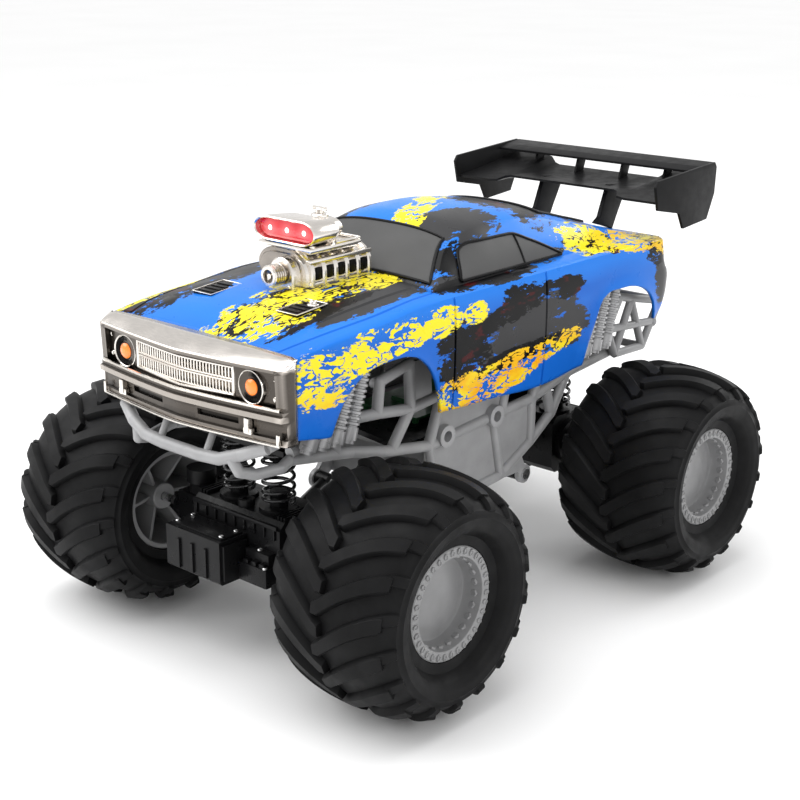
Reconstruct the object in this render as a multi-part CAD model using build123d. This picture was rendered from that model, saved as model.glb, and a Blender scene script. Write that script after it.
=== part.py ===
from build123d import *
import math
import os

# A radio-controlled monster truck: a muscle-car body on a tube frame, with two sprung solid axles.
# Millimetres. +X is the truck's left, the nose points to -Y, +Z is up.
# The origin is on the ground, under the centre of the whole truck.

# Wheels and axles
TYRE_RADIUS = 65.0
TYRE_WIDTH = 87.3
WHEEL_X = 106.35
AXLE_Z = 65.0
FRONT_AXLE_Y = -134.2
REAR_AXLE_Y = 109.7
BEAD_RADIUS = 30.4
SECTION_POWER = 2.26
LUG_COUNT = 18
LUG_HEIGHT = 4.0
LUG_THICK = 9.0
LUG_SKEW = 30.0
RIM_FACE_X = 32.4
BOLT_COUNT = 34
BOLT_CIRCLE = 27.6
HUB_RADIUS = 8.0
STUB_RADIUS = 2.5

# Steering
KINGPIN_X = 48.0
KINGPIN_RADIUS = 2.0
STEERING_ARM = 22.0
HORN_ARM = 11.0
HORN_X = 28.0
TIE_ROD_Z = (77.0, 80.0)
BALL_RADIUS = 3.0

# Axle cases and gears
CASE_X = 34.7
CASE_Z = (46.0, 84.0)
CASE_HALF_LENGTH = 17.8
CASE_WALL = 1.8
GEAR_MODULE = 1.0
AXLE_GEAR_TEETH = 30
PINION_TEETH = 10
GEAR_X = (-24.0, -18.0)
MOTOR_RADIUS = 10.0
MOTOR_DROP = 5.0
SHAFT_RADIUS = 1.6
RUNNING_FIT = 0.06
ROLL_PIN_RADIUS = 4.0

# Suspension links and springs
LINK_X = 36.0
FRONT_LINK_PIVOT = (-46.0, 62.0)
REAR_LINK_PIVOT = (50.0, 60.0)
PIVOT_RADIUS = 2.0
SPRING_RADIUS = 8.6
SPRING_WIRE = 1.1
SPRING_TURNS = 6
FRONT_SPRING_X = 16.0
REAR_SPRING_X = 24.0
SPRING_Z = (87.0, 119.6)

# Frame
FRAME_X = 50.0
FRONT_FRAME_X = 45.5
FRAME_TUBE = 3.2
DECK_HALF = 41.0
DECK_THICK = 3.0
DECK_HIGH = 124.0
DECK_LOW = 104.0
TAB_PLACES = (-146, -120, 100, 122)
BAR_TUBE = 3.4
CAGE_TUBE = 2.6
CAGE_X = 56.0

# Body
BODY_HALF = 73.0
BODY_WALL = 2.0
GLASS_WALL = 1.2
BODY_FRONT_Y = -172.8
FASCIA_Z = (143.5, 186.0)
LAMP_X = 49.2
LAMP_Z = 170.7
LAMP_RADIUS = 9.2
GRILLE_HALF = 36.6
GRILLE_SLOTS = 17
SLOT_PITCH = 4.0
SLOT_HALF = 1.2
COVER_CENTRE = (-92.0, 211.8)

# Wing
WING_HALF = 81.5
STRUT_X = 26.0

SIDES = (1, -1)


def block(x, y, z):
    """A box between the low and high value of each axis."""
    middle = [(low + high) / 2 for low, high in (x, y, z)]
    return Pos(*middle) * Box(x[1] - x[0], y[1] - y[0], z[1] - z[0])


def bar(start, end, radius):
    """A round bar from one point to another."""
    run = Vector(*end) - Vector(*start)
    return extrude(Plane(origin=start, z_dir=run) * Circle(radius), run.length)


def round_x(x, y, z, radius):
    """A round bar along X between two x values."""
    return bar((x[0], y, z), (x[1], y, z), radius)


def tube_run(points, radius):
    """Round bars through a list of points, with a ball at each inner corner."""
    shape = bar(points[0], points[1], radius)
    for start, end in zip(points[1:], points[2:]):
        shape += bar(start, end, radius)
        shape += Pos(*start) * Sphere(radius)
    return shape


def prism(plane, face, length):
    """A flat face, drawn on a plane, drawn out along the plane's normal."""
    return extrude(plane * face, length, dir=plane.z_dir)


def side_plate(points, x):
    """A plate whose outline is given in (y, z), between two x values."""
    return prism(Plane.YZ.offset(x[0]), Polygon(*points, align=None), x[1] - x[0])


def front_plate(points, y):
    """A plate whose outline is given in (x, z), between two y values."""
    plane = Plane(origin=(0, y[1], 0), x_dir=(1, 0, 0), z_dir=(0, -1, 0))
    return prism(plane, Polygon(*points, align=None), y[1] - y[0])


def plan_plate(points, z):
    """A plate whose outline is given in (x, y), between two z values."""
    return prism(Plane.XY.offset(z[0]), Polygon(*points, align=None), z[1] - z[0])


def flip(shape):
    """The same shape on the truck's other side."""
    return mirror(shape, Plane.YZ)


def both(shape):
    """A shape and its mirror image as one node's two solids, or one solid if they meet."""
    return shape + flip(shape)


def symmetric(points):
    """Closes a half outline, listed from its right end to its middle, with its mirror image."""
    return points + [(-x, y) for x, y in reversed(points) if x != 0]


# Wheels

def tyre_section(radius, half_width):
    """Half section of a tyre, bead to bead, as points (x, r) on a superellipse."""
    middle = (radius + BEAD_RADIUS) / 2
    tall = radius - middle
    points = []
    for step in range(-10, 11):
        angle = math.radians(90 - step * 90 / 7)
        wide = abs(math.cos(angle)) ** (2 / SECTION_POWER)
        high = abs(math.sin(angle)) ** (2 / SECTION_POWER)
        x = math.copysign(half_width * wide, math.cos(angle))
        points.append((x, middle + math.copysign(tall * high, math.sin(angle))))
    return points


def tyre_form(radius, half_width, bead):
    """A ring of the tyre's outer shape, with its hole at the bead radius."""
    points = tyre_section(radius, half_width)
    edge = Spline(*[(x, r) for x, r in points])
    first, last = points[0], points[-1]
    close = Polyline((last[0], last[1]), (last[0], bead), (first[0], bead), (first[0], first[1]))
    return revolve(make_face(edge + close), Axis.X)


def tyre():
    """Carcass with an air space, and slanted lugs on both shoulders."""
    half = TYRE_WIDTH / 2
    outer = tyre_form(TYRE_RADIUS, half, BEAD_RADIUS)
    carcass = tyre_form(TYRE_RADIUS - LUG_HEIGHT, half - LUG_HEIGHT / 2, BEAD_RADIUS)
    space = Rot(0, 90, 0) * Cylinder(TYRE_RADIUS - 9, TYRE_WIDTH - 24)
    space -= Rot(0, 90, 0) * Cylinder(BEAD_RADIUS + 3, TYRE_WIDTH)
    lug = Pos(half / 2 + 1, 0, TYRE_RADIUS) * Rot(0, 0, LUG_SKEW) * Box(half * 1.3, LUG_THICK, 30)
    lug &= block((1.5, half + 5), (-40, 40), (0, TYRE_RADIUS + 20))
    lugs = [Rot(360 / LUG_COUNT * i, 0, 0) * lug for i in range(LUG_COUNT)]
    lugs += [Rot(360 / LUG_COUNT * (i + 0.5), 0, 0) * flip(lug) for i in range(LUG_COUNT)]
    shape = carcass
    for one in lugs:
        shape += one & outer
    return shape - space


def disc_x(x, radius, hole=0.0):
    """A round plate or ring about the X axis, between two x values."""
    shape = round_x(x, 0, 0, radius)
    if hole:
        shape -= round_x((x[0] - 1, x[1] + 1), 0, 0, hole)
    return shape


def rim():
    """Barrel, recessed dish, hub with a blind shaft bore, and ribs behind. Its face looks to +X."""
    shape = disc_x((-31, RIM_FACE_X - 1.5), BEAD_RADIUS, BEAD_RADIUS - 3.6)
    shape += disc_x((RIM_FACE_X - 5.4, RIM_FACE_X - 3.2), BEAD_RADIUS - 2)
    shape += disc_x((-24, RIM_FACE_X - 4), HUB_RADIUS)
    rib = block((-20, RIM_FACE_X - 4.4), (-1, 1), (HUB_RADIUS - 1, BEAD_RADIUS - 2.4))
    for step in range(6):
        shape += Rot(step * 60 + 30, 0, 0) * rib
    return shape - disc_x((-30, -6), STUB_RADIUS)


def bead_ring():
    """The clamp ring on the rim's face, with its ring of small oval bolts."""
    ring = disc_x((RIM_FACE_X - 1.5, RIM_FACE_X + 0.5), BEAD_RADIUS, 24.6)
    bolt = Pos(RIM_FACE_X + 1, 0, BOLT_CIRCLE) * Rot(0, 90, 0) * Cylinder(1.3, 1.4)
    for step in range(BOLT_COUNT):
        ring += Rot(step * 360 / BOLT_COUNT, 0, 0) * bolt
    return ring


def place_wheel(shape, side, axle_y):
    """Moves a wheel piece, made at the origin facing +X, to its place."""
    turned = shape if side > 0 else flip(shape)
    return Pos(side * WHEEL_X, axle_y, AXLE_Z) * turned


# Gears

def gear_outline(teeth, tip_radius, root_radius, thinning):
    """Closed outline of an involute gear with a tooth centred on +X."""
    pitch_radius = GEAR_MODULE * teeth / 2
    base = pitch_radius * math.cos(math.radians(20))
    half_pitch_angle = (math.pi * GEAR_MODULE / 2 - thinning) / (2 * pitch_radius)
    at_pitch = math.tan(math.radians(20)) - math.radians(20)
    flank = []
    start = max(base, root_radius)
    for step in range(5):
        radius = start + (tip_radius - start) * step / 4
        pressure = math.acos(min(1, base / radius))
        away = half_pitch_angle + at_pitch - (math.tan(pressure) - pressure)
        flank.append((radius, away))
    points = []
    for tooth in range(teeth):
        centre = 2 * math.pi * tooth / teeth
        edge = [(root_radius, flank[0][1])] + flank if root_radius < base else flank
        for radius, away in edge:
            points.append((radius * math.cos(centre - away), radius * math.sin(centre - away)))
        for radius, away in reversed(edge):
            points.append((radius * math.cos(centre + away), radius * math.sin(centre + away)))
    return points


def gear(teeth, tip, root, x, turn):
    """A spur gear about the X axis, with a tooth turned so many degrees from +Y towards +Z."""
    outline = gear_outline(teeth, tip, root, 0.22)
    return side_plate(outline, x).rotate(Axis.X, turn)


def motor_place(axle_y, ahead):
    """The motor's axis (y, z), one gear centre distance from the axle."""
    apart = GEAR_MODULE * (AXLE_GEAR_TEETH + PINION_TEETH) / 2
    return axle_y + ahead * math.sqrt(apart ** 2 - MOTOR_DROP ** 2), AXLE_Z - MOTOR_DROP


def mesh_turn(axle_y, ahead):
    """The direction, in degrees from +Y, from the axle to the motor."""
    y, z = motor_place(axle_y, ahead)
    return math.degrees(math.atan2(z - AXLE_Z, y - axle_y))


def axle_gear(axle_y, ahead):
    """The large gear, with a gap between two teeth facing the pinion."""
    turn = mesh_turn(axle_y, ahead) + 180 / AXLE_GEAR_TEETH
    return Pos(0, axle_y, AXLE_Z) * gear(AXLE_GEAR_TEETH, 15.6, 13.8, GEAR_X, turn)


def pinion(axle_y, ahead):
    """The motor's small gear and its shaft."""
    y, z = motor_place(axle_y, ahead)
    turn = mesh_turn(axle_y, ahead) + 180
    small = gear(PINION_TEETH, 6.0, 3.8, GEAR_X, turn)
    small += bar((-30, 0, 0), (-17, 0, 0), 1.0)
    return Pos(0, y, z) * small


def motor(axle_y, ahead):
    """A small flat-sided can motor lying across the truck, with an end bell and two tabs."""
    y, z = motor_place(axle_y, ahead)
    can = round_x((-15, 5), 0, 0, MOTOR_RADIUS) & block((-15, 5), (-8.2, 8.2), (-12, 12))
    can += round_x((-16.8, -14.9), 0, 0, 3)
    can += round_x((5, 6.4), 0, 0, 4)
    for tab in SIDES:
        can += block((5, 7), (-1, 1), (tab * 6 - 1, tab * 6 + 1))
    return Pos(0, y, z) * (can - bar((-20, 0, 0), (-14, 0, 0), 1.0 + RUNNING_FIT))


# Axle cases

def case_form(axle_y, ahead):
    """Hollow gear case around the axle, with the boss for the roll pin on its chassis side."""
    y = (axle_y - CASE_HALF_LENGTH, axle_y + CASE_HALF_LENGTH)
    outer = block((-CASE_X, CASE_X), y, CASE_Z)
    outer = chamfer(outer.edges().filter_by(Axis.X), 4)
    inner_y = (y[0] + CASE_WALL, y[1] - CASE_WALL)
    inner_z = (CASE_Z[0] + CASE_WALL, CASE_Z[1] - CASE_WALL)
    inner = block((-CASE_X + CASE_WALL, CASE_X - CASE_WALL), inner_y, inner_z)
    inner = chamfer(inner.edges().filter_by(Axis.X), 2.6)
    shape = outer - inner
    back = axle_y - ahead * (CASE_HALF_LENGTH - CASE_WALL)
    shape += bar((0, back, AXLE_Z), (0, back - ahead * 3.8, AXLE_Z), 9)
    motor_y, motor_z = motor_place(axle_y, ahead)
    outer_wall = sorted((motor_y, axle_y + ahead * 12))
    window = block((-CASE_X + 2, 8.5), outer_wall, (motor_z - 10.6, motor_z + 10.6))
    return shape - window


def roll_pin(axle_y, ahead):
    """The lengthwise pin on which the axle rocks, with a collar at its end."""
    start = axle_y - ahead * (CASE_HALF_LENGTH + 2)
    end = start - ahead * 19
    pin = bar((0, start, AXLE_Z), (0, end, AXLE_Z), ROLL_PIN_RADIUS)
    return pin + bar((0, end, AXLE_Z), (0, end - ahead * 2, AXLE_Z), 6.5)


def lower_case(axle_y, ahead):
    """Lower half of the axle case, with the roll pin."""
    low = block((-CASE_X, CASE_X), (axle_y - 60, axle_y + 60), (0, AXLE_Z))
    shape = case_form(axle_y, ahead) & low
    half_pin = roll_pin(axle_y, ahead)
    shape += half_pin
    for x in (-12, 12):
        y = axle_y
        shape += block((x - 1.2, x + 1.2), (y - 13, y + 13), (CASE_Z[0] - 1.6, CASE_Z[0] + 1))
    return shape - round_x((-80, 80), axle_y, AXLE_Z, axle_bore(ahead))


def axle_bore(ahead):
    """Radius of the case's bore: the front shaft is thinner than the rear axle."""
    return (SHAFT_RADIUS if ahead < 0 else STUB_RADIUS) + RUNNING_FIT


def upper_case(axle_y, ahead, spring_x):
    """Upper half of the axle case, with cooling fins, spring cups and a capped boss."""
    high = block((-CASE_X, CASE_X), (axle_y - 60, axle_y + 60), (AXLE_Z, 120))
    shape = case_form(axle_y, ahead) & high
    shape -= roll_pin(axle_y, ahead)
    top = CASE_Z[1]
    for side in SIDES:
        x = side * spring_x
        shape += bar((x, axle_y, top - 1), (x, axle_y, top + 1.6), 11)
        shape += bar((x, axle_y, top), (x, axle_y, top + 10), 5)
    first_fin = spring_x + 12.2 if spring_x < 20 else 3
    for step in range(3):
        x = first_fin + step * 2.4
        shape += both(block((x, x + 1), (axle_y - 13, axle_y + 13), (top - 1, top + 2)))
    y = axle_y + ahead * 9.5
    boss = bar((0, y, top - 1), (0, y, top + 4), 4.6)
    shape += boss - block((-1.8, 1.8), (y - 1.8, y + 1.8), (top + 2, top + 5))
    return shape - round_x((-80, 80), axle_y, AXLE_Z, axle_bore(ahead))


def motor_cover(axle_y, ahead):
    """The square box over the motor, open towards the case."""
    near = axle_y + ahead * CASE_HALF_LENGTH
    far = axle_y + ahead * 38
    z = (47.5, 72.5)
    outer = block((-CASE_X, 9), sorted((near, far)), z)
    outer = chamfer(outer.edges().filter_by(Axis.X).sort_by(Axis.Y)[0 if ahead < 0 else -1], 1.5)
    inner_y = sorted((near - ahead, far - ahead * 2))
    shape = outer - block((-CASE_X + 2, 7), inner_y, (z[0] + 1.6, z[1] - 1.6))
    for x in (-24, -13, -2):
        shape += block((x - 1, x + 1), sorted((far, far + ahead * 1.2)), (z[0] + 2, z[1] - 6))
    return shape


# Front axle

def steering_fork(side):
    """The fork at each end of the front axle, which holds the knuckle's king pin."""
    y = FRONT_AXLE_Y
    web = block((CASE_X, 41), (y - 9, y + 9), (46, 84))
    shape = web - round_x((30, 45), y, AXLE_Z, BALL_RADIUS + 0.3)
    for z in ((46, 52.6), (77.4, 84)):
        arm = block((40, KINGPIN_X), (y - 7, y + 7), z)
        arm += bar((KINGPIN_X, y, z[0]), (KINGPIN_X, y, z[1]), 7)
        shape += arm
    shape += bar((KINGPIN_X, y, 84), (KINGPIN_X, y, 92), 8.5)
    shape -= bar((KINGPIN_X, y, 40), (KINGPIN_X, y, 88), KINGPIN_RADIUS + RUNNING_FIT)
    return shape if side > 0 else flip(shape)


def knuckle(side):
    """The steering knuckle: king pins, wheel bearing, cup clearance and the steering arm."""
    y = FRONT_AXLE_Y
    shape = block((43.6, 60), (y - 7.6, y + 7.6), (53, 77))
    shape = chamfer(shape.edges().filter_by(Axis.Z).sort_by(Axis.X)[:2], 2)
    shape += round_x((60, 66), y, AXLE_Z, 7)
    shape += bar((KINGPIN_X, y, 47), (KINGPIN_X, y, 83), KINGPIN_RADIUS)
    arm_y = y + STEERING_ARM
    shape += block((KINGPIN_X + 2.6, KINGPIN_X + 8), (y + 4, arm_y - 3), (71.5, 75.5))
    shape += block((KINGPIN_X - 3.4, KINGPIN_X + 8), (arm_y - 4, arm_y + 3.4), (71.5, 75.5))
    shape += bar((KINGPIN_X, arm_y, 75), (KINGPIN_X, arm_y, TIE_ROD_Z[1] + 1.4), 1.4)
    shape -= round_x((40, 56.5), y, AXLE_Z, 5.6)
    shape -= round_x((56, 70), y, AXLE_Z, STUB_RADIUS + RUNNING_FIT)
    return shape if side > 0 else flip(shape)


def stub_axle(side):
    """The wheel's short axle, with the cup that takes the drive shaft's ball."""
    y = FRONT_AXLE_Y
    shape = round_x((45.6, 56), y, AXLE_Z, 4.9) - round_x((45.5, 52.4), y, AXLE_Z, BALL_RADIUS + 0.35)
    shape += round_x((55.9, WHEEL_X - 6), y, AXLE_Z, STUB_RADIUS)
    return shape if side > 0 else flip(shape)


def front_drive_shaft():
    """The shaft through the front case, with the large gear and a ball at each end."""
    y = FRONT_AXLE_Y
    shape = round_x((-KINGPIN_X, KINGPIN_X), y, AXLE_Z, SHAFT_RADIUS)
    shape += axle_gear(y, -1)
    for side in SIDES:
        shape += Pos(side * KINGPIN_X, y, AXLE_Z) * Sphere(BALL_RADIUS)
    return shape


def steering_servo():
    """The servo behind the front case, with a round output boss."""
    y = FRONT_AXLE_Y + CASE_HALF_LENGTH
    shape = block((20, 36), (y + 0.1, y + 20), (50, 69))
    shape = chamfer(shape.edges().filter_by(Axis.Z), 1)
    horn_y = FRONT_AXLE_Y + STEERING_ARM + HORN_ARM
    shape += bar((HORN_X, horn_y, 68.5), (HORN_X, horn_y, 70.5), 4.4)
    return shape - bar((HORN_X, horn_y, 64), (HORN_X, horn_y, 72), 1.5 + RUNNING_FIT)


def servo_horn():
    """The servo's arm, whose pin drives the tie rod."""
    horn_y = FRONT_AXLE_Y + STEERING_ARM + HORN_ARM
    pin_y = FRONT_AXLE_Y + STEERING_ARM
    shape = bar((HORN_X, horn_y, 64.3), (HORN_X, horn_y, 73.4), 1.5)
    shape += bar((HORN_X, horn_y, 70.8), (HORN_X, horn_y, 73.8), 4)
    shape += block((HORN_X - 2.2, HORN_X + 2.2), (pin_y, horn_y), (71, 73.8))
    shape += bar((HORN_X, pin_y, 71), (HORN_X, pin_y, 73.8), 2.2)
    return shape + bar((HORN_X, pin_y, 73), (HORN_X, pin_y, TIE_ROD_Z[1] + 1.2), 1.4)


def tie_rod():
    """The rod between both steering arms, slotted where their pins swing."""
    y = FRONT_AXLE_Y + STEERING_ARM
    shape = block((-52, 52), (y - 2.6, y + 2.6), TIE_ROD_Z)
    shape += block((HORN_X - 6, HORN_X + 6), (y - 3.6, y + 6.4), TIE_ROD_Z)
    shape -= block((HORN_X - 2.0, HORN_X + 2.0), (y - 1.8, y + 4.6), TIE_ROD_Z)
    for side in SIDES:
        x = side * KINGPIN_X
        shape += block((x - 5.5, x + 5.5), (y - 5, y + 4), TIE_ROD_Z)
        shape -= block((x - 1.75, x + 1.75), (y - 3, y + 2), TIE_ROD_Z)
    return shape


# Rear axle

def axle_tube(side):
    """The plain tube from the rear case to the wheel, flanged at both ends."""
    y = REAR_AXLE_Y
    shape = round_x((CASE_X, 62), y, AXLE_Z, 8)
    shape += round_x((CASE_X, CASE_X + 3), y, AXLE_Z, 14)
    shape += round_x((57, 62), y, AXLE_Z, 10)
    shape -= round_x((30, 70), y, AXLE_Z, STUB_RADIUS + RUNNING_FIT)
    return shape if side > 0 else flip(shape)


def rear_axle_shaft():
    """The solid rear axle with its large gear. Both rear wheels are fixed to it."""
    end = WHEEL_X - 6
    return round_x((-end, end), REAR_AXLE_Y, AXLE_Z, STUB_RADIUS) + axle_gear(REAR_AXLE_Y, 1)


# Suspension

def yoke(axle_y, ahead, pivot):
    """Two lower links from the chassis pivots to a block that holds the axle's roll pin."""
    pivot_y, pivot_z = pivot
    near = axle_y - ahead * (CASE_HALF_LENGTH + 8)
    far = near - ahead * 12
    shape = block((-13, 13), sorted((near, far)), (56.5, 73))
    shape = chamfer(shape.edges().filter_by(Axis.Y), 3)
    for side in SIDES:
        x = side * LINK_X
        middle = (near + far) / 2
        link = bar((side * 10, middle, 62), (x, pivot_y, pivot_z), 3.2)
        shape += link
        shape += round_x((x - 5, x + 5), pivot_y, pivot_z, 5)
    shape -= bar((0, near + ahead * 5, AXLE_Z), (0, far - ahead * 5, AXLE_Z), ROLL_PIN_RADIUS + RUNNING_FIT)
    for side in SIDES:
        x = side * LINK_X
        shape -= round_x((x - 6, x + 6), pivot_y, pivot_z, PIVOT_RADIUS + RUNNING_FIT)
    return shape


def link_pins():
    """The four screws that the suspension links turn on."""
    pins = []
    for side in SIDES:
        for y, z in (FRONT_LINK_PIVOT, REAR_LINK_PIVOT):
            pin = round_x((30.5, 45), y, z, PIVOT_RADIUS)
            pin += round_x((44.5, 46), y, z, 3.4)
            pins.append(pin if side > 0 else flip(pin))
    return Compound(children=pins)


def springs(axle_y, spring_x):
    """The pair of coil springs above an axle."""
    bottom, top = SPRING_Z
    height = top - bottom
    path = Helix(pitch=height / SPRING_TURNS, height=height, radius=SPRING_RADIUS)
    wire = sweep(Plane(origin=path @ 0, z_dir=path % 0) * Circle(SPRING_WIRE), path=path)
    return Compound(children=[Pos(side * spring_x, axle_y, bottom) * wire for side in SIDES])


# Chassis

def belly_tub():
    """The battery tray between the side frames, with the lugs for the suspension links."""
    shape = block((-46, 46), (-34, 42), (64, 104)) - block((-44, 44), (-32, 40), (66, 105))
    for side in SIDES:
        lug_x = sorted((side * 41.4, side * 44.5))
        for (y, z), wall, out in ((FRONT_LINK_PIVOT, -33, -1), (REAR_LINK_PIVOT, 41, 1)):
            lug = side_plate([(wall, 66), (wall, 84), (y, z + 6), (y + out * 4, z), (y, z - 6)], lug_x)
            shape += lug + round_x(lug_x, y, z, 6)
    for side in SIDES:
        for y, z in (FRONT_LINK_PIVOT, REAR_LINK_PIVOT):
            shape -= round_x(sorted((side * 27, side * 46)), y, z, PIVOT_RADIUS)
    shape -= block((-24, 24), (-28, 36), (60, 70))
    shape += block((-27, 27), (-31, -28.2), (66, 70)) + block((-27, 27), (36.2, 39), (66, 70))
    return shape - block((30, 38), (-2, 12), (60, 70))


def battery_door():
    """The door under the battery, with finger ribs and one screw hole."""
    shape = block((-23.8, 23.8), (-27.8, 35.8), (63, 65.6))
    for step in range(6):
        y = 20 + step * 2.4
        shape += block((-10, 10), (y, y + 1), (62, 63.2))
    return shape - bar((0, -22, 60), (0, -22, 70), 1.6)


def battery_pack():
    """Five round cells in a sleeve."""
    shape = Pos(-14.6, 4, 74.4) * Rot(90, 0, 0) * Cylinder(7.2, 52)
    for step in range(1, 5):
        x = -14.6 + 7.3 * step
        z = 74.4 + (step % 2) * 12.6
        shape += Pos(x, 4, z) * Rot(90, 0, 0) * Cylinder(7.2, 52)
    return shape


def power_switch():
    """The sliding button under the belly."""
    return block((31, 37), (-1, 5), (62, 66.2)) + block((28.6, 39.4), (-3.4, 7.4), (66.1, 67.4))


def deck():
    """The folded plate above the tub, which carries the springs, the board and the body posts."""
    high, low = DECK_HIGH, DECK_LOW
    outline = [
        (-154, high),
        (-100, high),
        (-64, low),
        (64, low),
        (86, high),
        (128, high),
    ]
    top = [(y, z + DECK_THICK) for y, z in reversed(outline)]
    shape = side_plate(outline + top, (-DECK_HALF, DECK_HALF))
    for axle_y, spring_x in ((FRONT_AXLE_Y, FRONT_SPRING_X), (REAR_AXLE_Y, REAR_SPRING_X)):
        for side in SIDES:
            x = side * spring_x
            shape += bar((x, axle_y, high + 1), (x, axle_y, high - 3), 11)
            shape += bar((x, axle_y, high), (x, axle_y, high - 12), 5)
    return shape


def receiver_board():
    """The circuit board with a few of its parts, on four standoffs."""
    shape = block((-24, 24), (-30, 30), (110, 111.6))
    for x, y, wide, long, tall in ((-10, -14, 12, 12, 3), (8, 4, 16, 18, 4), (-12, 16, 8, 10, 8)):
        shape += block((x, x + wide), (y, y + long), (111.5, 111.6 + tall))
    for x in (-20, 20):
        for y in (-26, 26):
            shape += bar((x, y, 107), (x, y, 110.2), 2)
    return shape


def side_frame():
    """The left side frame: tube rails, truss bars, two panels, ring bosses and deck tabs."""
    near, x = FRONT_FRAME_X, FRAME_X
    rails = [
        [(near, -154, 124), (near, -108, 116.2), (x, -88, 112.3), (x, -81, 111), (x, -49, 105.5)],
        [(x, -49, 105.5), (x, 8.6, 109.5), (x, 47, 111.5), (x, 83, 120), (x, 128, 124)],
        [(near, -154, 128), (near, -108, 135), (x, -92, 135.2), (x, -65, 131.5), (x, -38, 134)],
        [(x, -38, 134), (x, 60, 137), (x, 100, 133), (x, 128, 128)],
        [(x, -81, 111), (x, -65, 131.5), (x, -66, 158), (x, -90, 153), (x, -92, 135.2)],
        [(x, -49, 105.5), (x, -38, 134)],
        [(x, 8.6, 109.5), (x, 17, 70)],
        [(x, 47, 111.5), (x, 46.5, 84), (x, 67.5, 97), (x, 83, 120)],
        [(x, 17, 110), (x, 24, 135)],
        [(x, 47, 111.5), (x, 62, 137)],
        [(x, 46.5, 84), (x, 17, 69.8), (x, -24, 67), (x, -44, 80), (x, -49, 105.5)],
        [(x, 62, 114.5), (x, 67.5, 97)],
        [(near, -120, 118), (near, -120, 133)],
    ]
    shape = None
    for rail in rails:
        run = tube_run(rail, FRAME_TUBE)
        shape = run if shape is None else shape + run
    lower = [(-49, 105.5), (-44, 80), (-24, 67), (17, 69.8), (46.5, 84), (47, 111.5), (8.6, 109.5)]
    upper = [(-49, 105.5), (8.6, 109.5), (17, 110), (24, 135), (-38, 134)]
    shape += side_plate(lower, (47.5, 50)) + side_plate(upper, (47.5, 50))
    shape += side_plate([(-66, 158), (-48, 158), (-46, 133), (-65, 131.5)], (47.5, 50))
    for y, z in ((-37, 109), (8.6, 110)):
        shape += round_x((46.5, 54.5), y, z, 6.6)
        shape -= round_x((45, 56), y, z, 3.4)
    for y, reach in zip(TAB_PLACES, (FRONT_FRAME_X, FRONT_FRAME_X, FRAME_X, FRAME_X)):
        shape += block((DECK_HALF, reach - 1), (y - 4, y + 4), (DECK_HIGH, DECK_HIGH + DECK_THICK))
    return shape


def front_bumper_bar():
    """The dipped bar under the nose with the two loops that run back to the frame."""
    main = [
        (-56, -179, 139.5),
        (-42, -185, 134),
        (-29, -187.5, 129.5),
        (-14, -188, 128.5),
        (14, -188, 128.5),
        (29, -187.5, 129.5),
        (42, -185, 134),
        (56, -179, 139.5),
    ]
    shape = tube_run(main, BAR_TUBE)
    for side in SIDES:
        loop = [
            (37, -186.5, 131.5),
            (40, -184, 124),
            (43.5, -176, 121.5),
            (47.5, -162, 122),
            (FRONT_FRAME_X, -154.2, 124),
        ]
        shape += tube_run([(side * x, y, z) for x, y, z in loop], BAR_TUBE - 0.4)
        shape += tube_run([(side * 56, -179, 139.5), (side * 56, -168, 141)], BAR_TUBE - 0.4)
        shape += bar((side * 18, -187, 129), (side * 18, -180, 142), 2)
    return shape - block((-60, 60), (-154, -140), (110, 140))


def rear_cage():
    """The truss behind the rear wheels, with its cross tubes."""
    shape = None
    for side in SIDES:
        rails = [
            [(127, 124), (159, 123), (178, 150.5), (131, 161), (118, 142), (127, 124)],
            [(127, 124), (144, 157)],
            [(159, 123), (144, 157)],
            [(118, 142), (168, 138)],
        ]
        for rail in rails:
            run = tube_run([(side * CAGE_X, y, z) for y, z in rail], CAGE_TUBE)
            shape = run if shape is None else shape + run
        shape += Pos(side * CAGE_X, 170, 137.5) * Sphere(3.6)
    for y, z in ((159, 123), (178, 150.5), (131, 161)):
        shape += round_x((-CAGE_X, CAGE_X), y, z, CAGE_TUBE)
    shape += block((-20, 20), (128, 160), (124, 126))
    return shape


def ribbed_pipe(start, end, radius):
    """A corrugated sleeve with a plain collar near its lower end."""
    run = Vector(*end) - Vector(*start)
    length = run.length
    pitch = 3.0
    profile = [(0, 0), (radius - 1, 0), (radius - 1, 2), (radius, 2), (radius, 9), (radius - 1, 9)]
    z = 10.0
    while z + pitch < length:
        profile += [(radius - 1, z), (radius, z + 0.4), (radius, z + 1.6), (radius - 1, z + 2)]
        z += pitch
    profile += [(radius - 1, length), (0, length)]
    face = make_face(Plane.XZ * Polyline(*profile, close=True))
    return Plane(origin=start, z_dir=run).location * revolve(face, Axis.Z)


def front_pipes():
    """Four ribbed sleeves in each front wheel arch."""
    pipes = []
    for side in SIDES:
        for step in range(4):
            x = side * (54.0 - step * 0.3)
            start = (x, -150.4 + step * 10.4, 128 - step * 0.6)
            end = (x, -133 + step * 9, 166)
            pipes.append(ribbed_pipe(start, end, 4.7))
    return Compound(children=pipes)


def rear_pipes():
    """Three ribbed sleeves in each rear wheel arch."""
    pipes = []
    for side in SIDES:
        for step in range(3):
            x = side * (63.4 - step * 1.5)
            start = (x, 81 + step * 13, 133)
            end = (x, 92 + step * 13, 171)
            pipes.append(ribbed_pipe(start, end, 4.9))
    return Compound(children=pipes)


def body_posts():
    """The four posts that hold the body above the deck."""
    posts = []
    for side in SIDES:
        for y in (-112, 111):
            post = bar((side * 34, y, 127), (side * 34, y, 190), 3)
            post += bar((side * 34, y, 127), (side * 34, y, 130), 5)
            posts.append(post)
    return Compound(children=posts)


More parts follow.
